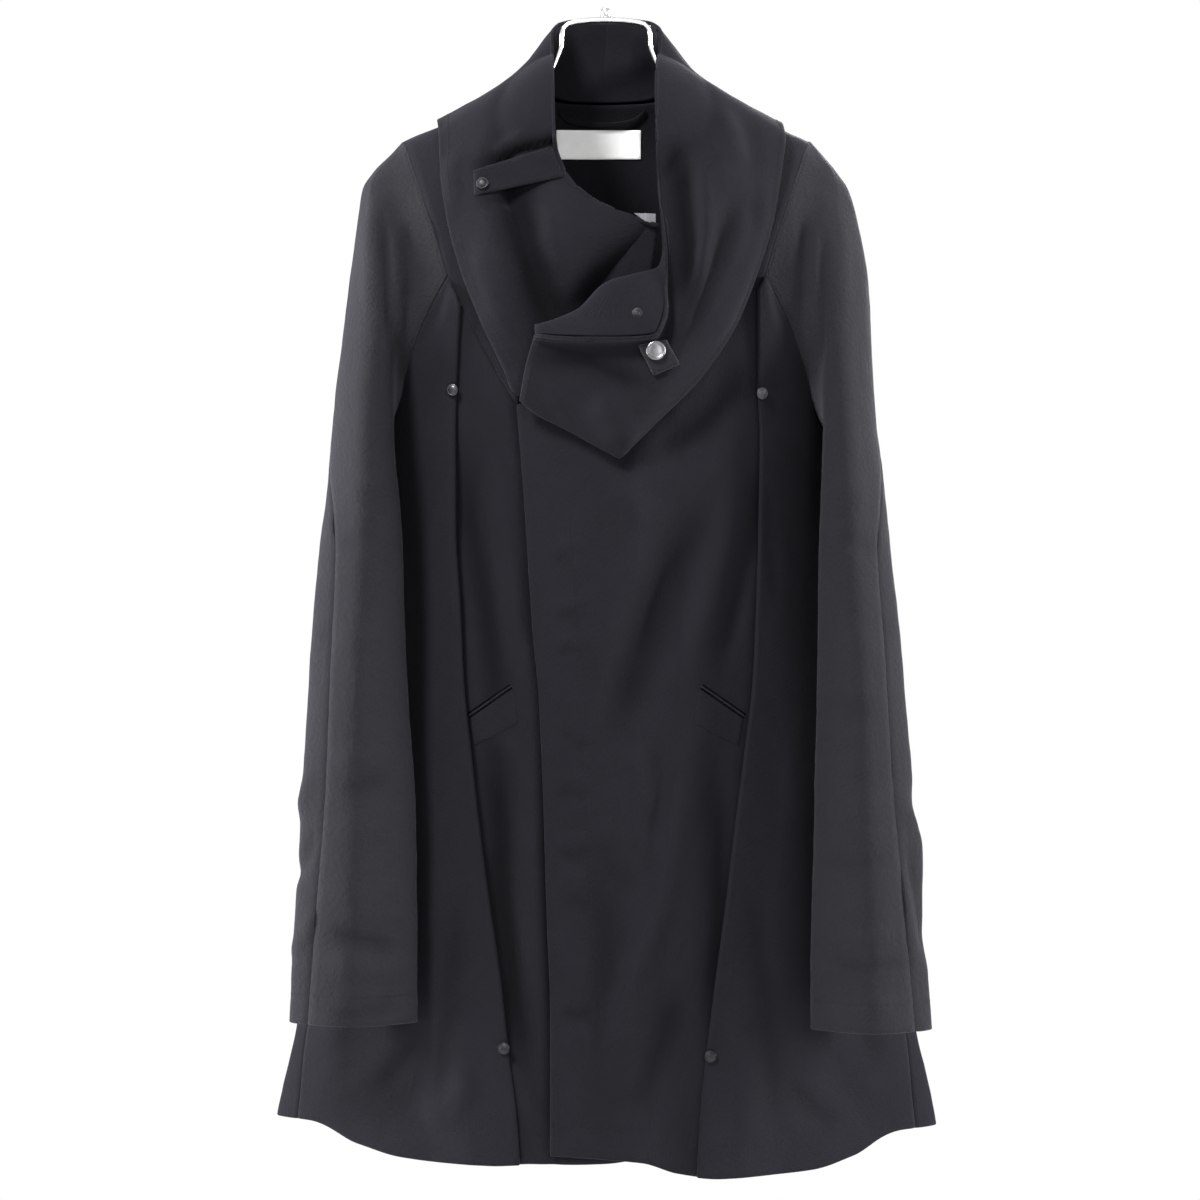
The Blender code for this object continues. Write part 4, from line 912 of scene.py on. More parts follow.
def cloth_piece(context, name, points, finish, centre, thickness=None, creased=0.0):
    """Makes a creased sheet that stands for the solid of the same name.

    creased is how far creases that are already in the points have moved them.
    """
    cloth = context.scene.coat_cloth
    x, drop = points[..., 0], -points[..., 2]
    lift = crease_lift(CREASES.get(name, ()), x, drop) * cloth.creases
    # each point's depth in a crease, from which the wool finish paints shade into the troughs and a
    # highlight onto the ridges
    nap = np.clip((lift + creased) / CREASE_SHADE_DEPTH, -1, 1)
    wave = cloth.unevenness / MM
    seed = sum(ord(letter) for letter in name) % 37
    lift += wave * (unevenness(points, LONG_WAVE, seed, (1, 1, 0.6))
                    + 0.5 * unevenness(points, SHORT_WAVE, seed + 1))
    if name.startswith("front"):
        points[..., 1] -= lift
        lift = None
    piece = make_sheet(name, points, finish_for(context, finish), centre,
                       thickness or cloth.thickness, lift, nap)
    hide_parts(name)


# ---- fronts, yokes and back ------------------------------------------------------------------

# about where the hem lies in front and at the side seams
FRONT_HEM_DROP = 1060.0
SIDE_HEM_DROP = 1038
# how often a column's top is found again from its place across
TOP_TRIES = 12
LOW_ROWS = (0, 0.045, 0.1, 0.165, 0.235, 0.31, 0.39, 0.47, 0.55, 0.63, 0.71, 0.79, 0.865, 0.935, 1)
CENTRE_OUTS = {LEFT: (-76, -49, -22, 4, 30, 54, 64, 70, 76, 92, 107, 120),
               RIGHT: (-22, 0, 20, 40, 54, 64, 70, 76, 92, 107, 120)}
SEAM_OUTS = ARMHOLE[:, 1]
# from here out the back's top edge lies at the depth that ridge_y gives
RIDGE_FROM = 45


def side_drop(side, share):
    """The height on the side seam, from armpit (0) to hem (1)."""
    return mix(ARMPIT_DROP, hem_drop(side, side_out(SIDE_HEM_DROP)), share)


def front_start(side, drop):
    return FRONT_EDGE("out", drop) if side == LEFT else -UNDER_EDGE + 0 * drop


def neck_rise(side, out):
    """How far past front_top a front rises along the yoke's edge, under the collar."""
    rise = np.clip((NECK_OUT - SEAM - out) * NECK_SLOPE, 0, NECK_RISE[side])
    return np.maximum(rise * ease(*NECK_FADE, out) - seam_lift(side, out), 0)


def pleat_places(side, name, grid):
    """Places across a front panel: the zone of the pleat, and how far along that zone."""
    centre = []
    for out in CENTRE_OUTS[side]:
        top = front_top(side, out)
        start = front_start(side, top)
        centre.append((out - start) / (PLEAT(name, top) - start))
    width = PLEAT(name, ARMPIT_DROP) - front_start(side, ARMPIT_DROP)
    places = [("centre", share) for share in subdivide([*centre, 1.0], grid / width)]
    flat_step = grid / RUN["underlay"]
    folded = (("under", (0, 1), flat_step), ("turn_back", (0, 1), 0.15),
              ("middle", (1, 0), flat_step), ("edge", (0, 1), 0.12), ("bridge", (0, 1), 0.34),
              ("outer", SEAM_OUTS, 1.1))
    for zone, shares, step in folded:
        places += [(zone, share) for share in subdivide(shares, step)[1:]]
    return places


def station(side, zone, share, drop):
    """(out, lift) of a place across a front panel at a height."""
    name = side_name(side)
    if zone == "bridge":
        fold, panel = station(side, "edge", 1, drop), station(side, "outer", APEX_OUT, drop)
        return mix(fold[0], panel[0], share), mix(fold[1], panel[1], share)
    pleat, depth = PLEAT(name, drop), PLEAT_DEPTH("depth", drop)
    radius = LAYER / 2
    gape = PLEAT_GAPE("gape", drop)
    if zone == "centre":
        out, lift = mix(front_start(side, drop), pleat, share), 0 * pleat
    elif zone == "under":
        out, lift = pleat + depth * share, 0 * pleat
    elif zone == "turn_back":
        turn = math.pi * share
        out = pleat + depth + radius * math.sin(turn)
        lift = radius * (1 - math.cos(turn)) + 0 * pleat
    elif zone == "middle":
        out, lift = pleat + depth * share, LAYER + gape * (1 - share) * 0.6
    elif zone == "edge":
        turn = math.pi * share
        out = pleat - radius * math.sin(turn)
        lift = mix(LAYER + gape * 0.6, 2 * LAYER + gape, (1 - math.cos(turn)) / 2)
    else:
        armpit_pleat = PLEAT(name, ARMPIT_DROP)
        along = (share - armpit_pleat) / (ARMPIT_OUT - armpit_pleat)
        low_out = mix(pleat, side_out(drop) - SEAM, along)
        out = np.where(drop < ARMPIT_DROP, share, low_out)
        flat = ease(depth + 1, depth + 1 + mix(6, 46, ease(301, 480, drop)), out - pleat)
        lift = (2 * LAYER + gape * ease(depth, 0, out - pleat)) * (1 - flat)
    if side == LEFT and zone == "centre":
        lift = lift + OVERLAP_LIFT * (1 - ease(UNDER_EDGE, UNDER_EDGE + 30, out))
    if side == RIGHT and zone == "centre":
        lift = lift - UNDER_SINK * (1 - ease(-UNDER_EDGE, 60, out))
    return out, lift


# how much of the middle's creases each zone of a front panel takes
ZONE_SINK = {"centre": 1, "under": 1, "turn_back": 1, "middle": 0.7}


def make_front(context, side, name):
    cloth = context.scene.coat_cloth
    grid = grid_step(context)
    rows = subdivide(LOW_ROWS, grid / RUN["front"])
    columns, sinks = [], []
    for zone, share in pleat_places(side, name, grid):
        top = float(APEX_DROP)
        for _ in range(TOP_TRIES):
            top = float(front_top(side, float(station(side, zone, share, top)[0])))
        low = hem_drop(side, station(side, zone, share, FRONT_HEM_DROP)[0])
        top += RIM if zone == "centre" or share > APEX_OUT else PLEAT_RIM
        if zone == "centre":
            top -= neck_rise(side, float(station(side, zone, share, top)[0]))
        drop = mix(top, low, rows)
        if zone == "outer":
            at_side = ease(0.7, 1, (share - APEX_OUT) / (ARMPIT_OUT - APEX_OUT))
            drop = np.maximum(mix(drop, side_drop(side, rows), at_side), top)
        out, lift = station(side, zone, share, drop)
        columns.append(place(side * out, front_y(side * out, drop) - lift, drop))
        sinks.append(ZONE_SINK.get(zone, 0) * (1 - 0.3 * share if zone == "middle" else 1))
    points = np.stack(columns, axis=1)
    x, drop = points[..., 0], -points[..., 2]
    creases = crease_lift(CREASES[f"front_{name}_centre"], x, drop)
    if side == RIGHT:
        edge = FRONT_EDGE("out", drop)
        covered = ease(edge - 1, edge + 12, x)
        creases += covered * crease_lift(CREASES["front_left_centre"], x, drop)
    creases *= np.array(sinks) * cloth.creases
    points[..., 1] -= creases
    cloth_piece(context, f"front_{name}", points, "body", (0, 0),
                creased=creases)


def make_yoke(context, side, name):
    grid = grid_step(context)
    levels = np.array([row[0] for row in RAGLAN.rows if row[0] <= APEX_DROP], float)
    at = subdivide(range(len(levels)), grid / RUN["yoke_level"])
    drop = np.interp(at, range(len(levels)), levels)
    along = at / (len(levels) - 1)
    neck_out, neck_drop = NECKLINE("out", along), NECKLINE("drop", along)
    columns = []
    for bottom in subdivide([row[0] for row in YOKE_SEAM.rows], grid):
        share = (bottom - NECK_OUT) / (APEX_OUT - NECK_OUT)
        out = mix(neck_out, RAGLAN("out", drop), share)
        height = mix(neck_drop, drop, share)
        seam = YOKE_SEAM("drop", bottom) - seam_lift(side, bottom)
        height += along ** 6 * (seam - mix(NECK_DROP, APEX_DROP, share))
        height = np.maximum(height, SHOULDER("drop", out) + RIM)
        y = front_y(side * out, height)
        y[0] = ridge_y(y[0], out[0])
        columns.append(place(side * out, y, height))
    cloth_piece(context, f"yoke_{name}", np.stack(columns, axis=1), "body", (0, 0))


def back_edge(side, share, drop, edge_drop):
    """Points of the back at a share of the way from the centre line to its side edge."""
    half, power = BODY("half", drop), BODY("power", drop)
    end_ratio = (side_out(drop) + SEAM) / half
    turn = share * (math.pi - np.arcsin(np.clip(end_ratio, 0, 1) ** (power / 2)))
    round_out = half * np.sin(turn).clip(0) ** (2 / power)
    seam_out = BACK_RAGLAN("out", edge_drop) * math.sin(share * math.pi / 2) ** (2 / power)
    armhole = edge_drop <= ARMPIT_DROP
    out = np.where(armhole, seam_out, round_out)
    x = side * out
    y = np.where(armhole | (turn < math.pi / 2), back_y(x, drop), front_y(x, drop))
    return place(x, y, drop)


def make_back(context):
    grid = grid_step(context)
    upper = subdivide([row[0] for row in BACK_RAGLAN.rows], grid)
    lower = subdivide(LOW_ROWS, grid / RUN["back"])[1:]
    top_out = BACK_RAGLAN("out", upper[0])
    shares = subdivide((0, 1), grid / RUN["half_back"])
    halves = {}
    for side, _ in SIDES:
        columns = []
        for share in shares:
            begun = (upper - upper[0]) / (ARMPIT_DROP - upper[0])
            out = top_out * math.sin(share * math.pi / 2)
            bend = share ** 1.5
            neck = BACK_NECK("drop", out) - mix(BACK_NECK_DROP, upper[0], bend)
            level = mix(mix(BACK_NECK_DROP, ARMPIT_DROP, begun), upper, bend)
            level += neck * (1 - ease(0, 0.5, begun))
            low_level = mix(mix(ARMPIT_DROP, BACK_HEM, lower), side_drop(side, lower),
                            ease(0.2, 0.78, share))
            column = np.concatenate([
                back_edge(side, share, level, upper),
                back_edge(side, share, low_level, side_drop(side, lower) + 1)])
            first = column[0]
            if out > RIDGE_FROM:
                first[1] = ridge_y(first[1], abs(first[0]))
            columns.append(column)
        halves[side] = columns
    points = np.stack(halves[RIGHT][::-1] + halves[LEFT][1:], axis=1)
    cloth_piece(context, "back", points, "body", (0, 0))


# ---- sleeves ---------------------------------------------------------------------------------

# the ring of a sleeve at each height, through: hollow beside the body, fold edge, front crown,
# outer edge, back crown and the back beside the body
SLEEVE = Table(("drop", "fold_right", "fold_left", "outer_right", "outer_left", "fold_y",
                "crown_y", "outer_y", "back_out", "back_y", "inner_out", "inner_y", "hollow",
                "seam"), (
    (178.5, 177.4, 177.4, 178.8, 178.8, -4, -3, 0, 0.6, 3, 176, 5, 0, 1.0),
    (191, 184, 184, 190, 190, -19, -14, 0, 0.5, 17, 174, 20, 0, 1.0),
    (205, 196, 194, 204, 202, -25, -18, 0, 0.5, 24, 173, 28, 0, 1.0),
    (219, 201, 195, 213, 211.5, -33, -25, -1, 0.5, 30, 171, 36, 2, 1.0),
    (243.5, 199, 194, 217, 219, -47, -36, -3, 0.45, 38, 169, 46, 5, 1.0),
    (301, 194, 194, 223.5, 229.5, -70, -56, -9, 0.4, 50, 166, 58, 8, 1.0),
    (358, 190, 191.5, 230.5, 231.5, -80, -72, -17, 0.35, 57, 170, 56, 8, 1.0),
    (403, 187, 190, 235.5, 233.5, -84, -82, -22, 0.35, 57, 181, 40, 4, 1.0),
    (432, 184.5, 188.5, 238, 235.5, -86, -88, -26, 0.4, 53, 195.6, 2, 0, 1.0),
    (455, 183, 187.5, 240, 238.5, -86, -91, -30, 0.4, 47, 200.5, -2, 0, 0.9),
    (500, 179, 186, 244, 243, -86, -98, -38, 0.4, 30, 202, -14, 0, 0.6),
    (545, 176, 184, 249, 247, -87, -103, -46, 0.45, 12, 203, -24, 0, 0.44),
    (640, 173, 183, 255.5, 256, -90, -113, -62, 0.6, -12, 198, -44, 0, 0.4),
    (760, 166, 181, 261.5, 265, -93, -124, -76, 0.6, -32, 192, -60, 0, 0.43),
    (870, 164, 178, 267, 273, -97, -132, -87, 0.6, -44, 190, -68, 0, 0.5),
    (948, 164, 177.5, 270.5, 278, -100, -137, -94, 0.6, -53, 190, -74, 0, 0.54)))
CUFF_DROP = {LEFT: 947, RIGHT: 941}
# how far out soft folds move the crown and the back of a sleeve's ring at each height
SLEEVE_FOLDS = Table(("drop", "height"), (
    (178.5, 0), (330, 0), (440, 3), (560, -3.5), (650, 3), (740, -2.5), (830, 3), (900, -2.5),
    (950, 0)))

# the places of three points in the row that ring_keys gives
CROWN_KEY, BACK_KEY, END_KEY = 3, 5, 7


def ring_keys(side, drop):
    """The points that a sleeve's ring goes through at each height, from front to back seam."""
    name = side_name(side)
    read = {column: SLEEVE(column, drop) for column in SLEEVE.columns[1:]}
    fold, outer = read["fold_" + name], read["outer_" + name]
    joined = drop < ARMPIT_DROP
    inner = read["inner_out"] + (fold - read["fold_right"]) * 0.6
    front_out, back_out = RAGLAN("out", drop), BACK_RAGLAN("out", drop)
    start = (np.where(joined, front_out, inner),
             np.where(joined, front_y(side * front_out, drop), read["inner_y"]))
    end = (np.where(joined, back_out, inner),
           np.where(joined, back_y(side * back_out, drop), read["inner_y"]))
    hollow = (mix(start[0], fold, 0.5), mix(start[1], read["fold_y"], 0.5) + read["hollow"])
    crown = (mix(fold, outer, 0.5), read["crown_y"])
    back = (mix(outer, fold, read["back_out"]), read["back_y"])
    inner_back = (mix(back[0], end[0], 0.55), mix(back[1], end[1], 0.42))
    keys = np.array([start, hollow, (fold, read["fold_y"]), crown, (outer, read["outer_y"]),
                     back, inner_back, end])
    middle = np.array([mix(fold, outer, 0.5), read["outer_y"]])
    for k in (CROWN_KEY, BACK_KEY):
        away = keys[k] - middle
        keys[k] += SLEEVE_FOLDS("height", drop) * away / np.maximum(np.hypot(*away), 1e-6)
    return keys


def ring_points(side, drops, at):
    """Points of a sleeve's rings; each row of at counts its ring's key points."""
    keys = ring_keys(side, drops)
    rows = np.arange(len(drops))[:, None]
    i = np.minimum(at.astype(int), len(keys) - 2)
    p, q, r, s = (keys[np.clip(i + k, 0, len(keys) - 1), :, rows] for k in (-1, 0, 1, 2))
    xy = spline(p, q, r, s, (at - i)[..., None])
    return place(side * xy[..., 0], xy[..., 1], np.repeat(drops[:, None], at.shape[1], axis=1))


def trimmed(points, start, end):
    """Moves each row's first and last points in along the row."""
    points = points.copy()
    points[:, 0] += unit(points[:, 1] - points[:, 0]) * start
    points[:, -1] += unit(points[:, -2] - points[:, -1]) * end
    return points


def make_sleeve(context, side, name):
    grid = grid_step(context)
    drops = subdivide([*(row[0] for row in SLEEVE.rows[:-1]), CUFF_DROP[side]], grid)
    seam = CROWN_KEY + SLEEVE("seam", drops)
    shares = subdivide((0, 1), grid / RUN["sleeve_round"])[None, :]
    front = trimmed(ring_points(side, drops, seam[:, None] * shares), SEAM, SEAM / 2)
    back = trimmed(ring_points(side, drops, mix(seam[:, None], END_KEY, shares)), SEAM / 2, RIM)
    centre = (front.mean(axis=1, keepdims=True) + back.mean(axis=1, keepdims=True))[..., :2] / 2
    cloth_piece(context, f"sleeve_front_{name}", front, "sleeve", centre)
    cloth_piece(context, f"sleeve_back_{name}", back, "sleeve", centre)


# ---- collar ----------------------------------------------------------------------------------

COLLAR_COLUMNS = ("along", "ridge_x", "ridge_y", "ridge_drop", "crown_x", "crown_y", "crown_drop",
                  "edge_x", "edge_y", "edge_drop", "brow_x", "brow_y", "brow_drop",
                  "neck_x", "neck_drop", "neck_forward", "tuck")
COLLAR_RIGHT = Table(COLLAR_COLUMNS, (
    (0.00, 0, 60, 64, 0, 96, 126, 0, 84, 214, 0, 58, 100, 0, 135.5, 0, 1),
    (0.12, -26, 52, 64, -48, 84, 120, -80, 78, 212, -28, 52, 100, -30, 134.5, 0, 1),
    (0.22, -41, 33, 69, -80, 54, 120, -126, 52, 196, -47, 34, 98, -54, 129, 0, 1),
    (0.31, -47, 7, 81, -88, 6, 125, -148, 8, 158, -57, 4, 104, -74.5, 121, 0, 1),
    (0.40, -47, -16, 105, -98, -38, 139, -145, -40, 172, -60, -24, 128, -71, 148, 0, 1),
    (0.50, -46.5, -40, 143, -98, -74, 176, -142, -72, 212, -59, -48, 160, -66, 184, 0, 1),
    (0.60, -45, -64, 182, -93, -97, 218, -135, -90, 257, -56, -70, 202, -61, 226, 0, 1),
    (0.70, -35, -84, 214, -86, -114, 256, -124, -99, 298, -50, -84, 240, -59, 270, 0, 1),
    (0.79, -12, -101, 238, -66, -125, 290, -107, -105, 341, -38, -92, 276, -58, 316, 0, 0.5),
    (0.87, 10, -108, 250, -40, -121, 322, -88, -108, 381, -16, -97, 306, -66, 390, -2, 0),
    (0.94, 28, -109, 257, -18, -114, 342, -75, -109, 405, 8, -100, 320, -58, 409, -3, 0),
    (1.00, 43.5, -108, 262, 30, -110, 338, 4, -109, 408, 34, -101, 320, 14, 408, -3, 0)))
COLLAR_LEFT = Table(COLLAR_COLUMNS, (
    (0.00, 0, 60, 64, 0, 96, 126, 0, 84, 214, 0, 58, 100, 0, 135.5, 0, 1),
    (0.10, 26, 52, 64, 48, 84, 120, 80, 78, 212, 28, 52, 100, 30, 134.5, 0, 1),
    (0.20, 42, 33, 69, 82, 54, 120, 130, 52, 196, 47, 34, 98, 54, 129, 0, 1),
    (0.28, 48, 7, 82, 90, 6, 126, 152, 8, 160, 57, 4, 104, 74.5, 121, 0, 1),
    (0.37, 46, -16, 110, 98, -38, 139, 155, -42, 176, 60, -24, 128, 71, 148, 0, 1),
    (0.47, 43.5, -50, 164, 98, -84, 186, 149, -75, 220, 58, -56, 174, 66, 184, 0, 2),
    (0.56, 44.5, -82, 206, 96, -108, 226, 142, -91, 258, 55, -80, 208, 61, 226, 0, 1),
    (0.65, 47, -108, 248, 91, -124, 266, 130, -102, 297, 54, -98, 252, 59, 270, 2, 1),
    (0.73, 50.5, -128, 294, 84, -134, 314, 110, -109, 346, 46, -119, 298, 58, 312, 6, 5),
    (0.79, 51, -140, 328, 70, -136, 358, 82, -116, 389, 28, -130, 304, 56, 344, 8, 10),
    (0.845, 43.4, -147.7, 355, 36.5, -136, 406, 21.5, -121, 449.5, 4, -134, 311, 46.7, 369, 9, 14),
    (0.855, 41, -148, 357, 30, -136, 408, 12, -121, 459.5, 0, -134, 313, 44, 372, 9, 14),
    (0.865, 37.6, -148, 358, 24, -136, 407.5, 4, -121, 455.5, -4, -134, 315.5, 40.4, 375, 9, 14),
    (0.92, 2, -147, 360, -10, -134, 396, -28, -121, 438, -24, -132, 336, 6, 388, 13, 14),
    (0.96, -28, -142, 359, -38, -131, 389, -51, -121.5, 425, -42, -129, 344, -24, 392, 14, 10.5),
    (1.00, -60, -134, 356, -67, -127, 380, -73, -122, 407, -60, -125, 350, -56, 396, 15, 5)))
SHOULDER_ALONG = 0.3
OFF_BODY = 6.5
UNDER_GAP = 2.5


def through(points, shares):
    """A smooth curve through each set of points: (points, lines, 3) to (lines, shares, 3)."""
    at = shares * (len(points) - 1)
    i = np.minimum(at.astype(int), len(points) - 2)
    p, q, r, s = (points[np.clip(i + k, 0, len(points) - 1)] for k in (-1, 0, 1, 2))
    return spline(p, q, r, s, (at - i)[:, None, None]).swapaxes(0, 1)


def collar_points(table, kind, along):
    return place(table(kind + "_x", along), table(kind + "_y", along),
                 table(kind + "_drop", along))


def neck_points(table, along):
    """Where the standing layer meets the neckline of back or yoke."""
    x, drop = table("neck_x", along), table("neck_drop", along)
    y = np.where(along < SHOULDER_ALONG, back_y(x, drop + 2), front_y(x, drop + 2))
    return place(x, y - table("neck_forward", along), drop)


def off_body(points, gap):
    """Moves points of the turned-down layer out where they would touch the coat below."""
    x, y, drop = points[..., 0], points[..., 1], -points[..., 2]
    rolled = SHOULDER("drop", np.abs(x)) + SHOULDER_ROLL
    level = np.maximum(drop, rolled)
    depth = np.abs(np.where(y < 0, front_y(x, level), back_y(x, level))) + gap
    above = np.maximum(rolled - drop, 0) / (SHOULDER_ROLL + gap)
    reach = np.hypot(y / depth, above)
    flat = place(x, np.copysign(depth, y), drop)
    safe = np.maximum(reach, 1e-6)
    round_place = place(x, y / safe, rolled - (rolled - drop) / safe)
    moved = np.where((above == 0)[..., None], flat, round_place)
    return np.where((reach >= 1)[..., None], points, moved)


# how far from the ridge, towards the crown, a collar's fall is tucked
TUCK_AT = 7
# the share of a collar's length over which the ridge's direction is read
RIDGE_STEP = 0.01
# along these shares of the right collar its gap to the body narrows to UNDER_GAP
UNDER_FROM = (0.75, 0.9)
# how much lower than in the solids the left collar's corner hangs, and where it begins to
CORNER_DROP = 4.5
CORNER_ALONG, CORNER_DOWN = (0.93, 1), (0.7, 1)
# the place (x, y) that the collar's outer faces look away from
COLLAR_CENTRE = (0, 20)


def make_collar(context, side, name):
    cloth = context.scene.coat_cloth
    grid = grid_step(context)
    table = COLLAR_LEFT if side == LEFT else COLLAR_RIGHT
    along = subdivide(table.keys, grid / RUN["collar"])
    ridge, crown, edge, brow = (
        collar_points(table, kind, along) for kind in ("ridge", "crown", "edge", "brow"))
    neck = neck_points(table, along)
    under = ridge + unit(crown - ridge) * TUCK_AT
    under[:, 1] += table("tuck", along)
    ahead, behind = (collar_points(table, "ridge", along + step)
                     for step in (RIDGE_STEP, -RIDGE_STEP))
    inward = unit(np.cross(ahead - behind, under - ridge))
    inward *= np.where((inward[:, :2] * ridge[:, :2]).sum(axis=1) < 0, 1, -1)[:, None]
    inner = ridge + inward * (SOLID_CLOTH + 2 * SEAM)
    gap = OFF_BODY
    if side == RIGHT:
        gap = mix(OFF_BODY, UNDER_GAP, ease(*UNDER_FROM, along))[:, None]
    fall_shares = subdivide((0, 1), grid / RUN["fall"])
    fall = through(np.array([ridge, under, crown, edge]), fall_shares)
    if side == LEFT:
        fall[..., 2] -= (CORNER_DROP * ease(*CORNER_ALONG, along)[:, None]
                         * ease(*CORNER_DOWN, fall_shares))
    fall = off_body(fall, gap)
    stand = through(np.array([inner, brow, neck]), subdivide((0, 1), grid / RUN["stand"]))
    for points in (fall, stand):
        points[0, :, 0] = -side
    thick = cloth.collar_thickness
    cloth_piece(context, f"collar_fall_{name}", fall, "body", COLLAR_CENTRE, thick)
    cloth_piece(context, f"collar_stand_{name}", stand, "body", COLLAR_CENTRE,
                cloth.thickness)


# ---- things on the cloth ---------------------------------------------------------------------

# the steps of a patch's grid along its length and across it
PATCH_STEPS = (0.045, 0.12)


def laid_patch(context, name, under, corners, lift, bulge=0.0, stand=0.0, taut=0.0):
    """A flat piece with four corners (x, drop), laid on the cloth and lifted off it.

    bulge lifts the middle of its length, stand lifts its top edge, and taut is how much it
    spans the hollows of the cloth below instead of sinking into them.
    """
    thickness = context.scene.coat_cloth.thickness / MM
    a, b, c, d = (np.array(corner, float) for corner in corners)
    shares_u, shares_v = (subdivide((0, 1), step) for step in PATCH_STEPS)
    points = np.zeros((len(shares_v), len(shares_u), 3))
    for i, v in enumerate(shares_v):
        for j, u in enumerate(shares_u):
            x, drop = mix(mix(a, b, u), mix(d, c, u), v)
            points[i, j] = on_cloth(under, x, drop)[0]
    flat = mix(mix(points[:1, :1], points[:1, -1:], shares_u[None, :, None]),
               mix(points[-1:, :1], points[-1:, -1:], shares_u[None, :, None]),
               shares_v[:, None, None])
    spanned = mix(points[..., 1], flat[..., 1], taut)
    points[..., 1] = np.minimum(points[..., 1], spanned)
    rise = (lift + thickness / 2 + bulge * np.sin(np.pi * shares_u)[None, :]
            + stand * ((1 - shares_v) ** 1.5)[:, None])
    points[..., 1] -= rise
    piece = make_sheet(name, points, finish_for(context, "body"), (0, 0), thickness * MM)
    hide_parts(name)


TURNED_POINTS = 40
SHARP_ANGLE = 40


def turned(context, name, centre, normal, profile, finish):
    """A small turned piece: a closed profile of (radius, height) rings about its own axis."""
    axis = Vector(normal).normalized()
    side = axis.orthogonal().normalized()
    other = axis.cross(side)
    rings = np.array([[np.array(centre) + np.array(side) * radius * math.cos(turn)
                       + np.array(other) * radius * math.sin(turn) + np.array(axis) * height
                       for turn in np.linspace(0, 2 * math.pi, TURNED_POINTS, endpoint=False)]
                      for radius, height in profile])
    return add_piece(name, rings.reshape(-1, 3), ring_faces(rings, True),
                     finish_for(context, finish), sharp_angle=SHARP_ANGLE)


SNAP = ((4.4, 0.2), (5.1, 0.5), (5.35, 1.1), (5.3, 1.9), (5.0, 2.4), (4.5, 2.65), (4.1, 2.6),
        (3.9, 2.4), (3.6, 2.45), (3.2, 2.8), (2.2, 3.15), (1.0, 3.3))
BIG_SNAP = ((7.2, 0.2), (8.1, 0.6), (8.4, 1.3), (8.3, 2.2), (7.9, 2.8), (7.3, 3.1), (6.7, 3.15),
            (6.2, 2.8), (5.8, 2.5), (5.2, 2.45), (3.6, 2.7), (1.6, 2.8))
STUD = ((2.6, 0.2), (4.9, 0.5), (5.2, 0.9), (5.0, 1.5), (3.4, 1.8), (2.7, 2.2), (2.6, 3.0),
        (2.2, 3.5), (1.2, 3.7))
PLEAT_SNAPS = (("upper", 399.5, 402.5), ("lower", 963, 970))
SNAP_INSET = 0.4
SNAP_CLEAR = 0.4
WELT_CORNERS = ((80, 657), (117.5, 683), (113.5, 706), (75.5, 686))
STRAP_CORNERS = ((-113, 213), (-47.5, 192), (-37, 217.5), (-112, 234))
STRAP_SNAP = (-105.5, 224.5)
TAB = Table(("corner", "x", "y", "drop"), (
    (0, 28, -141.5, 366), (1, 50.5, -142, 361.5), (2, 61.3, -141.5, 381), (3, 40.2, -141, 390)))
TAB_SNAP = (42, 370)
STUD_PLACE = (25.8, 339)


def make_snap(context, name, under, x, drop, profile, finish="snap"):
    hit, normal = on_cloth(under, x, drop)
    piece = turned(context, name + "_metal", hit + normal * SNAP_CLEAR, normal, profile, finish)
    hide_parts(name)


# the cords along a pocket's mouth: distance above the welt, width, height, finish.
# The two near-black cords are painted shade where the slit lies in shadow; the jet between
# them is of the lighter sleeve wool, a painted highlight on a real raised cord.
POCKET_CORDS = (("mouth_upper", 4.6, 1.8, 0.5, "mouth"), ("jet", 2.9, 1.7, 1.6, "sleeve"),
                ("mouth_lower", 1.1, 2.2, 0.5, "mouth"))


def make_cord(context, name, line, normals, width, height, finish):
    """A cord laid along a line on the cloth, half sunk in it."""
    ahead = unit(np.gradient(line, axis=0))
    across = unit(np.cross(ahead, normals))
    turn = np.linspace(0, 2 * math.pi, 8, endpoint=False)[None, :, None]
    rings = (line[:, None] + across[:, None] * np.cos(turn) * width / 2
             + normals[:, None] * np.sin(turn) * height)
    add_piece(name, rings.reshape(-1, 3), ring_faces(rings, True), finish_for(context, finish),
              ring_uv(rings))


def make_mouth(context, side, name):
    """The mouth along the top of a pocket's welt: a jet of lighter wool between two near-black
    cords, which are painted shade where the slit lies in shadow.
    """
    start, end = (np.array(corner, float) for corner in WELT_CORNERS[:2])
    length = np.linalg.norm(end - start)
    way = (end - start) / length
    above = np.array((way[1], -way[0]))
    for part, up, width, height, finish in POCKET_CORDS:
        met = [on_cloth(f"front_{name}", side * out, drop) for out, drop
               in start + above * up + way * np.linspace(0, length, 24)[:, None]]
        line, normals = np.array(met).swapaxes(0, 1)
        make_cord(context, f"pocket_{part}_{name}", line, normals, width, height, finish)


def make_tab(context):
    corners = [np.array((TAB("x", k), TAB("y", k), -TAB("drop", k))) for k in range(4)]
    shares = subdivide((0, 1), 0.08)
    points = np.array([[mix(mix(corners[0], corners[1], u), mix(corners[3], corners[2], u), v)
                        for u in shares] for v in shares])
    points[..., 1] -= 1.2 * np.sin(np.pi * shares)[None, :] * np.sin(np.pi * shares)[:, None]
    piece = make_sheet("collar_tab", points, finish_for(context, "sleeve"), (0, 0),
                       context.scene.coat_cloth.thickness)
    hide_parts("collar_tab")


# ---- labels ----------------------------------------------------------------------------------

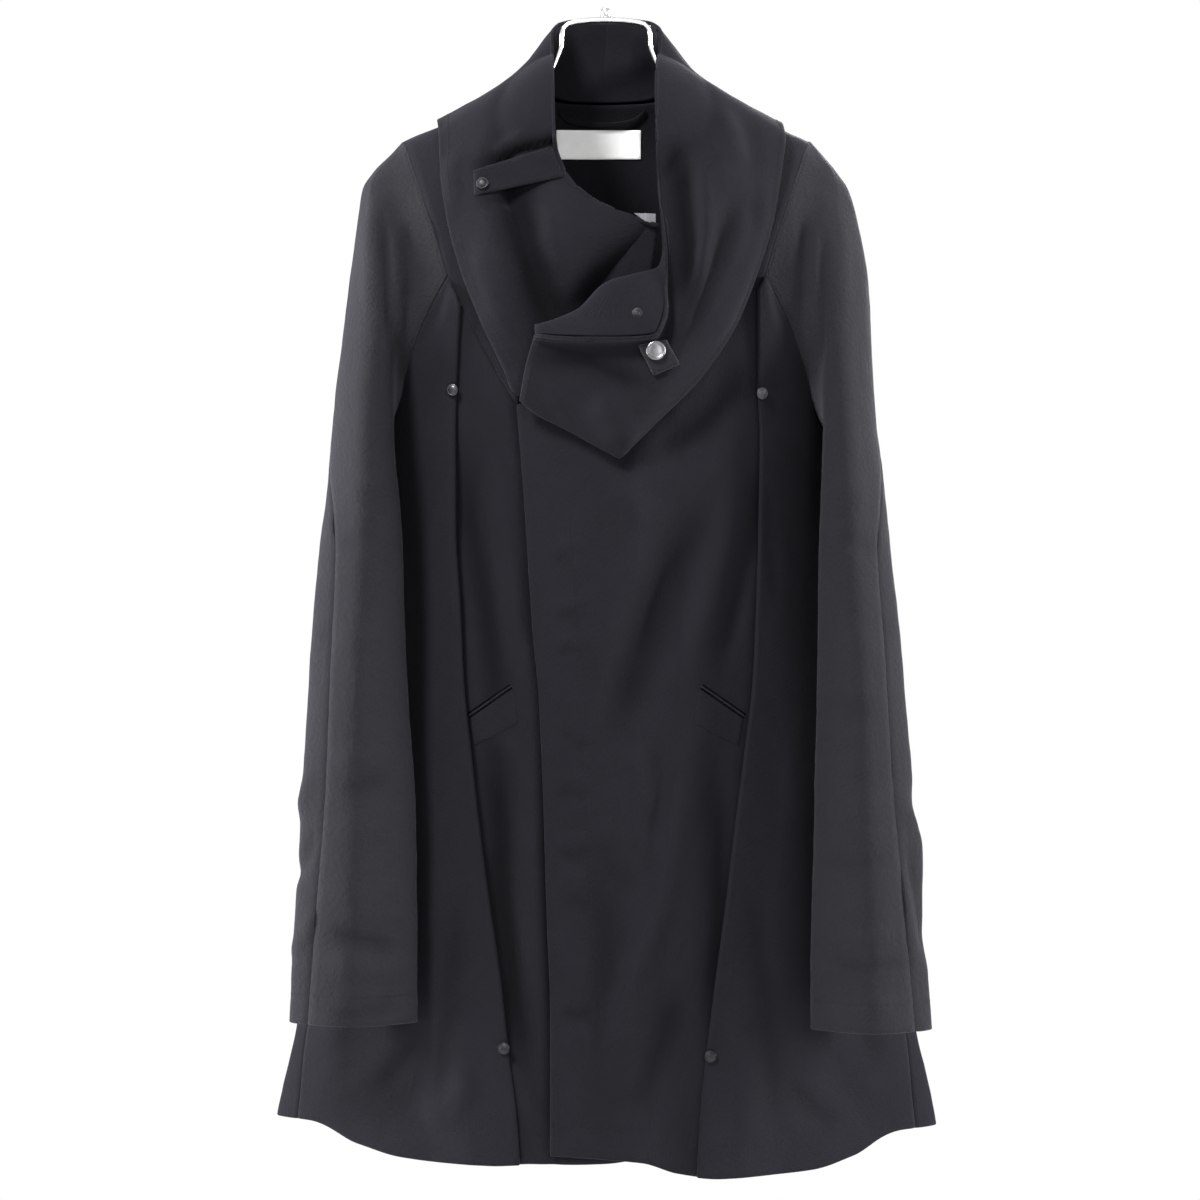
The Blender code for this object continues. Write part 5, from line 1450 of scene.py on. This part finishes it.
LOOP = Table(("x", "drop", "off"), (
    (-42, 142.5, 2.4), (-33, 150, 3.4), (-18, 153, 5), (-3, 154, 5.5), (12, 153, 5),
    (25, 150, 3.4), (35, 142.5, 2.4)))
LOOP_WIDTH = 3.6
LABEL_DROPS = (160, 185)
LABEL_PLACES = (-44, 31)
CARE_CORNERS = ((24, 251), (42, 251.5), (42, 260.5), (33, 257.5))
CARE_DEPTH = -112


def inside_back(context, x, drop, off):
    """A place off the inner face of the back."""
    hit = on_cloth("back", x, drop, start=0.0)[0]
    hit[1] -= off + context.scene.coat_cloth.thickness / MM
    return hit


def small_piece(context, name, points, thickness, finish):
    piece = make_sheet(name, points, finish_for(context, finish), (0, 1000), thickness)
    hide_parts(name)


def make_labels(context):
    drops, places = subdivide(LABEL_DROPS, 2.5), subdivide(LABEL_PLACES, 3)
    points = np.array([[inside_back(context, x, drop, 1.2) for x in places] for drop in drops])
    small_piece(context, "neck_label", points, 0.0009, "label")
    places = subdivide(LOOP.keys, 2.5)
    points = np.array([[inside_back(context, x, LOOP("drop", x) + down, LOOP("off", x))
                        for x in places] for down in subdivide((0, LOOP_WIDTH), 0.9)])
    small_piece(context, "hanger_loop", points, 0.0013, "tape")
    a, b, c, d = (np.array(corner, float) for corner in CARE_CORNERS)
    shares = subdivide((0, 1), 0.12)
    flat = np.array([[mix(mix(a, b, u), mix(d, c, u), v) for u in shares] for v in shares])
    points = place(flat[..., 0], CARE_DEPTH + 0.8 * np.sin(3 * flat[..., 0] / 6), flat[..., 1])
    small_piece(context, "care_label", points, 0.0008, "care")


# ---- stitching -------------------------------------------------------------------------------

# sheet, edge, inset, and the share of the edge from which and to which it is stitched
SEAMS = (
    ("collar_fall_left", "end", 4.0, 0, 1), ("collar_fall_right", "end", 9.5, 0, 1),
    ("collar_fall_left", "bottom", 4.0, 0, 1), ("collar_fall_right", "bottom", 4.5, 0, 1),
    ("front_left", "start", 5.0, 0, 1), ("front_left", "start", 38.0, 0.15, 0.82),
    ("front_left", "bottom", 26.0, 0, 1), ("front_right", "bottom", 26.0, 0, 1),
    ("back", "bottom", 26.0, 0, 1),
    ("sleeve_front_left", "bottom", 24.0, 0, 1), ("sleeve_front_right", "bottom", 24.0, 0, 1),
    ("sleeve_back_left", "bottom", 24.0, 0, 1), ("sleeve_back_right", "bottom", 24.0, 0, 1),
    ("sleeve_front_left", "start", 3.5, 0.02, 0.33),
    ("sleeve_front_right", "start", 3.5, 0.02, 0.33),
    ("sleeve_back_left", "end", 3.5, 0.02, 0.33),
    ("sleeve_back_right", "end", 3.5, 0.02, 0.33),
    ("yoke_left", "bottom", 3.0, 0, 1), ("yoke_right", "bottom", 3.0, 0, 1),
    ("collar_strap", "top", 2.2, 0, 1), ("collar_strap", "bottom", 2.2, 0, 1),
    ("collar_tab", "start", 2.0, 0, 1), ("collar_tab", "end", 2.0, 0, 1),
    ("collar_tab", "bottom", 2.0, 0, 1),
    ("pocket_welt_left", "bottom", 1.8, 0, 1), ("pocket_welt_right", "bottom", 1.8, 0, 1))


# a stitch swells between the two middle shares of its length, and has so many sides
STITCH_SHARES = (0, 0.22, 0.78, 1)
STITCH_SIDES = 5


def stitch_mesh(line, normals, trim):
    """Stitches along a line: each a short spindle, half sunk in the cloth."""
    pitch = (trim.stitch + trim.gap) / MM
    radius = trim.thread / MM / 2
    far = np.concatenate([[0], np.cumsum(np.linalg.norm(np.diff(line, axis=0), axis=1))])
    count = int(far[-1] / pitch)
    points, faces = [], []
    for k in range(count):
        spots = [(k * pitch + share * trim.stitch / MM) for share in STITCH_SHARES]
        centres = np.array([[np.interp(spot, far, line[:, axis]) for axis in range(3)]
                            for spot in spots])
        up = np.array([np.interp(spots[1], far, normals[:, axis]) for axis in range(3)])
        up /= np.linalg.norm(up)
        way = centres[3] - centres[0]
        side = np.cross(way / np.linalg.norm(way), up)
        base = len(points)
        points.append(centres[0] - up * radius * 0.4)
        for centre in centres[1:3]:
            for turn in range(STITCH_SIDES):
                angle = 2 * math.pi * turn / STITCH_SIDES
                points.append(centre + up * radius * (0.45 + math.sin(angle))
                              + side * radius * math.cos(angle))
        points.append(centres[3] - up * radius * 0.4)
        for turn in range(STITCH_SIDES):
            after = (turn + 1) % STITCH_SIDES
            low, low_after = base + 1 + turn, base + 1 + after
            high, high_after = low + STITCH_SIDES, low_after + STITCH_SIDES
            faces.append((base, low_after, low))
            faces.append((low, low_after, high_after, high))
            faces.append((high, high_after, base + 1 + 2 * STITCH_SIDES))
    return points, faces


# the rolled edges of the collar: piece, edge, distances in, width and height of the cord.
# The cords are of the lighter sleeve wool, a painted highlight along each roll.
ROLLS = (("collar_fall_left", "start", (0.8, 4.6), 1.1, 0.8),
         ("collar_fall_right", "start", (0.8, 4.6), 1.1, 0.6))


def make_rolls(context):
    for name, edge, insets, width, height in ROLLS:
        for k, inset in enumerate(insets):
            line, normals = inset_line(name, edge, inset)
            make_cord(context, f"{name}_{edge}_cord_{k}", line, normals, width, height, "sleeve")


def make_stitching(context):
    trim = context.scene.coat_trim
    points, faces = [], []
    for name, edge, inset, first, last in SEAMS:
        line, normals = inset_line(name, edge, inset)
        begin, end = int(first * len(line)), int(last * len(line))
        more, more_faces = stitch_mesh(line[begin:end], normals[begin:end], trim)
        faces += [tuple(k + len(points) for k in face) for face in more_faces]
        points += more
    add_piece("stitching", np.array(points), faces, finish_for(context, "thread"))
    make_rolls(context)


# ---- hanger ----------------------------------------------------------------------------------

HANGER_ARM = Table(("out", "drop"), (
    (31, 73), (40, 97), (50, 119), (64, 136), (82, 147), (110, 159), (135, 173), (160, 188),
    (180, 200), (191, 207)), straight=True)
BAR_HEIGHT = 4.0
BAR_WIDTH = 12
ROD = 4.0
HOOK_RADIUS = 21.0
HOOK_TURN = (-90, 205)
BAR_DROP = 73
FERRULE = ((2.1, -4.5), (4.2, -4.5), (4.6, -4.0), (4.6, 2.6), (4.2, 3.2), (3.0, 3.6),
           (2.7, 4.6), (2.1, 4.8))
FERRULE_PLACE = (0, 0, -63.5)


def sweep(context, name, line, section, finish):
    """A bar along a line; section is a closed loop of (front to back, up) places."""
    line, section = np.array(line, float), np.array(section, float)
    ahead = unit(np.gradient(line, axis=0))
    across = np.array((0.0, 1.0, 0.0))
    up = unit(np.cross(ahead, across))
    rings = (line[:, None] + section[None, :, 0, None] * across
             + section[None, :, 1, None] * up[:, None])
    return add_piece(name, rings.reshape(-1, 3), ring_faces(rings, False),
                     finish_for(context, finish), ring_uv(rings), sharp_angle=SHARP_ANGLE)


def rounded_section(width, height, corner, steps=5):
    """A rectangle with round corners, as a closed loop."""
    loop = []
    for quarter, (x, y) in enumerate(((1, 1), (-1, 1), (-1, -1), (1, -1))):
        for k in range(steps + 1):
            turn = math.pi / 2 * (quarter + k / steps)
            loop.append((x * (width / 2 - corner) + corner * math.cos(turn),
                         y * (height / 2 - corner) + corner * math.sin(turn)))
    return loop


def make_hanger(context):
    arm = np.array([(out, 0, -drop) for out, drop in HANGER_ARM.rows], float)
    line = np.concatenate([arm[::-1] * (-1, 1, 1), arm])
    smooth = through(line[:, None, :], subdivide((0, 1), 0.01))[0]
    bar = sweep(context, "hanger_strip", smooth, rounded_section(BAR_WIDTH, BAR_HEIGHT, 1.2),
                "hanger")
    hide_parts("hanger")
    centre_drop = HOOK_RADIUS - ROD / 2
    stem = [(0, 0, -drop) for drop in subdivide((BAR_DROP - BAR_HEIGHT / 2 - SEAM, 50), 3)]
    first, last = (math.radians(turn) for turn in HOOK_TURN)
    bend = [(HOOK_RADIUS * math.cos(turn), 0, HOOK_RADIUS * math.sin(turn) - centre_drop)
            for turn in np.linspace(first + 0.2, last, 60)]
    hook = sweep(context, "hook_wire", stem + bend, rounded_section(ROD, ROD, ROD / 2 - 0.01, 4),
                 "hanger")
    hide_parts("hanger_hook")
    turned(context, "hook_ferrule", FERRULE_PLACE, (0, 0, 1), FERRULE, "hanger")


# ---- studio ----------------------------------------------------------------------------------

# in metres: name, place, size and the setting that holds the power
LIGHTS = (("light_high", (-1.4, -2.2, 1.8), (0.8, 0.8), "key"),
          ("light_right", (2.6, -0.2, -0.1), (0.8, 1.8), "rim"),
          ("light_left", (-2.5, 0.15, -0.3), (0.8, 1.8), "rim"),
          ("light_front", (0.7, -3.2, 0.2), (1.0, 1.0), "front"),
          ("light_back", (0.9, 3.0, 0.5), (1.2, 1.2), "back"))
COAT_MIDDLE = (0, 0, -0.62)
CAMERA_X = -0.00528
FLOOR_HALF = 1500.0


def add_light(name, place_at, aim, size, power):
    data = bpy.data.lights.new(name, "AREA")
    data.shape = "RECTANGLE"
    data.size, data.size_y = size
    data.energy = power
    light = bpy.data.objects.new(name, data)
    light.location = place_at
    light.rotation_euler = (Vector(aim) - Vector(place_at)).to_track_quat("-Z", "Y").to_euler()
    bpy.context.scene.collection.objects.link(light)


def floor_finish():
    """Pale painted concrete, with soft clouds and a fine grain."""
    finish, tree, shader = new_finish("pale_floor")
    spot = add_node(tree, "ShaderNodeTexCoord").outputs["Object"]
    clouds = add_node(tree, "ShaderNodeTexNoise", {"Vector": spot, "Scale": 3.0, "Detail": 5.0})
    shade = blend_colours(tree, clouds.outputs["Fac"], (0.84, 0.84, 0.84, 1), (0.88, 0.88, 0.88, 1))
    tree.links.new(shade, shader.inputs["Base Color"])
    shader.inputs["Roughness"].default_value = 0.85
    return finish


def make_studio(context):
    studio = context.scene.coat_studio
    for name, place_at, size, setting in LIGHTS:
        add_light(name, place_at, COAT_MIDDLE, size, getattr(studio, setting))
    world = bpy.data.worlds.new("pale_room")
    world.use_nodes = True
    backdrop = world.node_tree.nodes["Background"]
    backdrop.inputs["Color"].default_value = (1, 1, 1, 1)
    backdrop.inputs["Strength"].default_value = studio.surround
    context.scene.world = world
    context.scene.view_settings.view_transform = "Standard"
    half = FLOOR_HALF
    corners = place(np.array((-half, half, half, -half)), np.array((-half, -half, half, half)),
                    np.full(4, studio.floor_drop / MM))
    mesh = bpy.data.meshes.new("floor")
    mesh.from_pydata((corners * MM).tolist(), [], [(0, 1, 2, 3)])
    mesh.materials.append(floor_finish())
    floor = bpy.data.objects.new("floor", mesh)
    context.scene.collection.objects.link(floor)
    data = bpy.data.cameras.new("camera")
    data.lens = data.sensor_width * studio.distance / studio.frame_width
    camera = bpy.data.objects.new("camera", data)
    camera.location = (CAMERA_X, -studio.distance, -studio.centre_drop)
    camera.rotation_euler = (math.pi / 2, 0, 0)
    context.scene.collection.objects.link(camera)
    context.scene.camera = camera


# ---- operators -------------------------------------------------------------------------------

class COAT_OT_fronts(bpy.types.Operator):
    """Make the two front panels, each with its long pleat"""
    bl_idname = "coat.fronts"
    bl_label = "Fronts"

    def execute(self, context):
        for side, name in SIDES:
            make_front(context, side, name)
            make_yoke(context, side, name)
        return {"FINISHED"}


class COAT_OT_back(bpy.types.Operator):
    """Make the back, which comes round to the side seams"""
    bl_idname = "coat.back"
    bl_label = "Back"

    def execute(self, context):
        make_back(context)
        return {"FINISHED"}


class COAT_OT_sleeves(bpy.types.Operator):
    """Make the four sleeve pieces"""
    bl_idname = "coat.sleeves"
    bl_label = "Sleeves"

    def execute(self, context):
        for side, name in SIDES:
            make_sleeve(context, side, name)
        return {"FINISHED"}


class COAT_OT_collar(bpy.types.Operator):
    """Make the standing and the turned-down layer of the collar"""
    bl_idname = "coat.collar"
    bl_label = "Collar"

    def execute(self, context):
        for side, name in SIDES:
            make_collar(context, side, name)
        return {"FINISHED"}


class COAT_OT_closures(bpy.types.Operator):
    """Make the collar's strap and tab, the press fasteners and the stud"""
    bl_idname = "coat.closures"
    bl_label = "Closures"

    def execute(self, context):
        laid_patch(context, "collar_strap", "collar_fall_right", STRAP_CORNERS,
                   lift=-0.4, bulge=2.6, stand=3.6, taut=0.8)
        make_snap(context, "strap_snap", "collar_strap", *STRAP_SNAP, SNAP)
        make_tab(context)
        make_snap(context, "tab_snap", "collar_tab", *TAB_SNAP, BIG_SNAP, "silver")
        make_snap(context, "collar_stud", "collar_stand_left", *STUD_PLACE, STUD)
        for side, name in SIDES:
            for level, right_drop, left_drop in PLEAT_SNAPS:
                drop = left_drop if side == LEFT else right_drop
                out = PLEAT(name, drop) + SNAP_INSET
                make_snap(context, f"pleat_snap_{level}_{name}", f"front_{name}", side * out,
                          drop, SNAP, "grey" if level == "upper" else "snap")
        return {"FINISHED"}


class COAT_OT_pockets(bpy.types.Operator):
    """Lay the two slanted pocket welts on the fronts, with their mouths: a jet between two cords of
    painted shade
    """
    bl_idname = "coat.pockets"
    bl_label = "Pockets"

    def execute(self, context):
        for side, name in SIDES:
            corners = tuple((side * out, drop) for out, drop in WELT_CORNERS)
            laid_patch(context, f"pocket_welt_{name}", f"front_{name}", corners,
                       lift=-1.4)
            make_mouth(context, side, name)
        return {"FINISHED"}


class COAT_OT_labels(bpy.types.Operator):
    """Make the blank neck label, the small label and the hanger loop"""
    bl_idname = "coat.labels"
    bl_label = "Labels and loop"

    def execute(self, context):
        make_labels(context)
        return {"FINISHED"}


class COAT_OT_stitching(bpy.types.Operator):
    """Sew the topstitching along the edges and seams, and roll the collar's edges"""
    bl_idname = "coat.stitching"
    bl_label = "Stitching"

    def execute(self, context):
        make_stitching(context)
        return {"FINISHED"}


class COAT_OT_hanger(bpy.types.Operator):
    """Make the hanger's steel strip, its hook and its ferrule"""
    bl_idname = "coat.hanger"
    bl_label = "Hanger"

    def execute(self, context):
        make_hanger(context)
        return {"FINISHED"}


class COAT_OT_studio(bpy.types.Operator):
    """Set up the floor, the pale room, the lights and the camera"""
    bl_idname = "coat.studio"
    bl_label = "Studio"

    def execute(self, context):
        make_studio(context)
        return {"FINISHED"}


STEPS = (COAT_OT_studio, COAT_OT_fronts, COAT_OT_back, COAT_OT_sleeves, COAT_OT_collar,
         COAT_OT_closures, COAT_OT_pockets, COAT_OT_labels, COAT_OT_stitching, COAT_OT_hanger)
SETTINGS = (("coat_cloth", ClothSettings), ("coat_colours", ColourSettings),
            ("coat_trim", TrimSettings), ("coat_studio", StudioSettings))


class COAT_PT_panel(bpy.types.Panel):
    """The settings of the coat and a button for each of its pieces"""
    bl_idname = "COAT_PT_panel"
    bl_label = "Pleated coat"
    bl_space_type = "VIEW_3D"
    bl_region_type = "UI"
    bl_category = "Coat"

    def draw(self, context):
        for setting, group in SETTINGS:
            box = self.layout.box()
            for name in group.__annotations__:
                box.prop(getattr(context.scene, setting), name)
        for step in STEPS:
            self.layout.operator(step.bl_idname)


def register():
    for setting, group in SETTINGS:
        bpy.utils.register_class(group)
        setattr(bpy.types.Scene, setting, bpy.props.PointerProperty(type=group))
    for made in (*STEPS, COAT_PT_panel):
        bpy.utils.register_class(made)


def unregister():
    for made in (COAT_PT_panel, *reversed(STEPS)):
        bpy.utils.unregister_class(made)
    for setting, group in reversed(SETTINGS):
        delattr(bpy.types.Scene, setting)
        bpy.utils.unregister_class(group)


def main():
    register()
    bpy.ops.coat.studio()
    bpy.ops.coat.fronts()
    bpy.ops.coat.back()
    bpy.ops.coat.sleeves()
    bpy.ops.coat.collar()
    bpy.ops.coat.closures()
    bpy.ops.coat.pockets()
    bpy.ops.coat.labels()
    bpy.ops.coat.stitching()
    bpy.ops.coat.hanger()


if __name__ == "__main__":
    main()
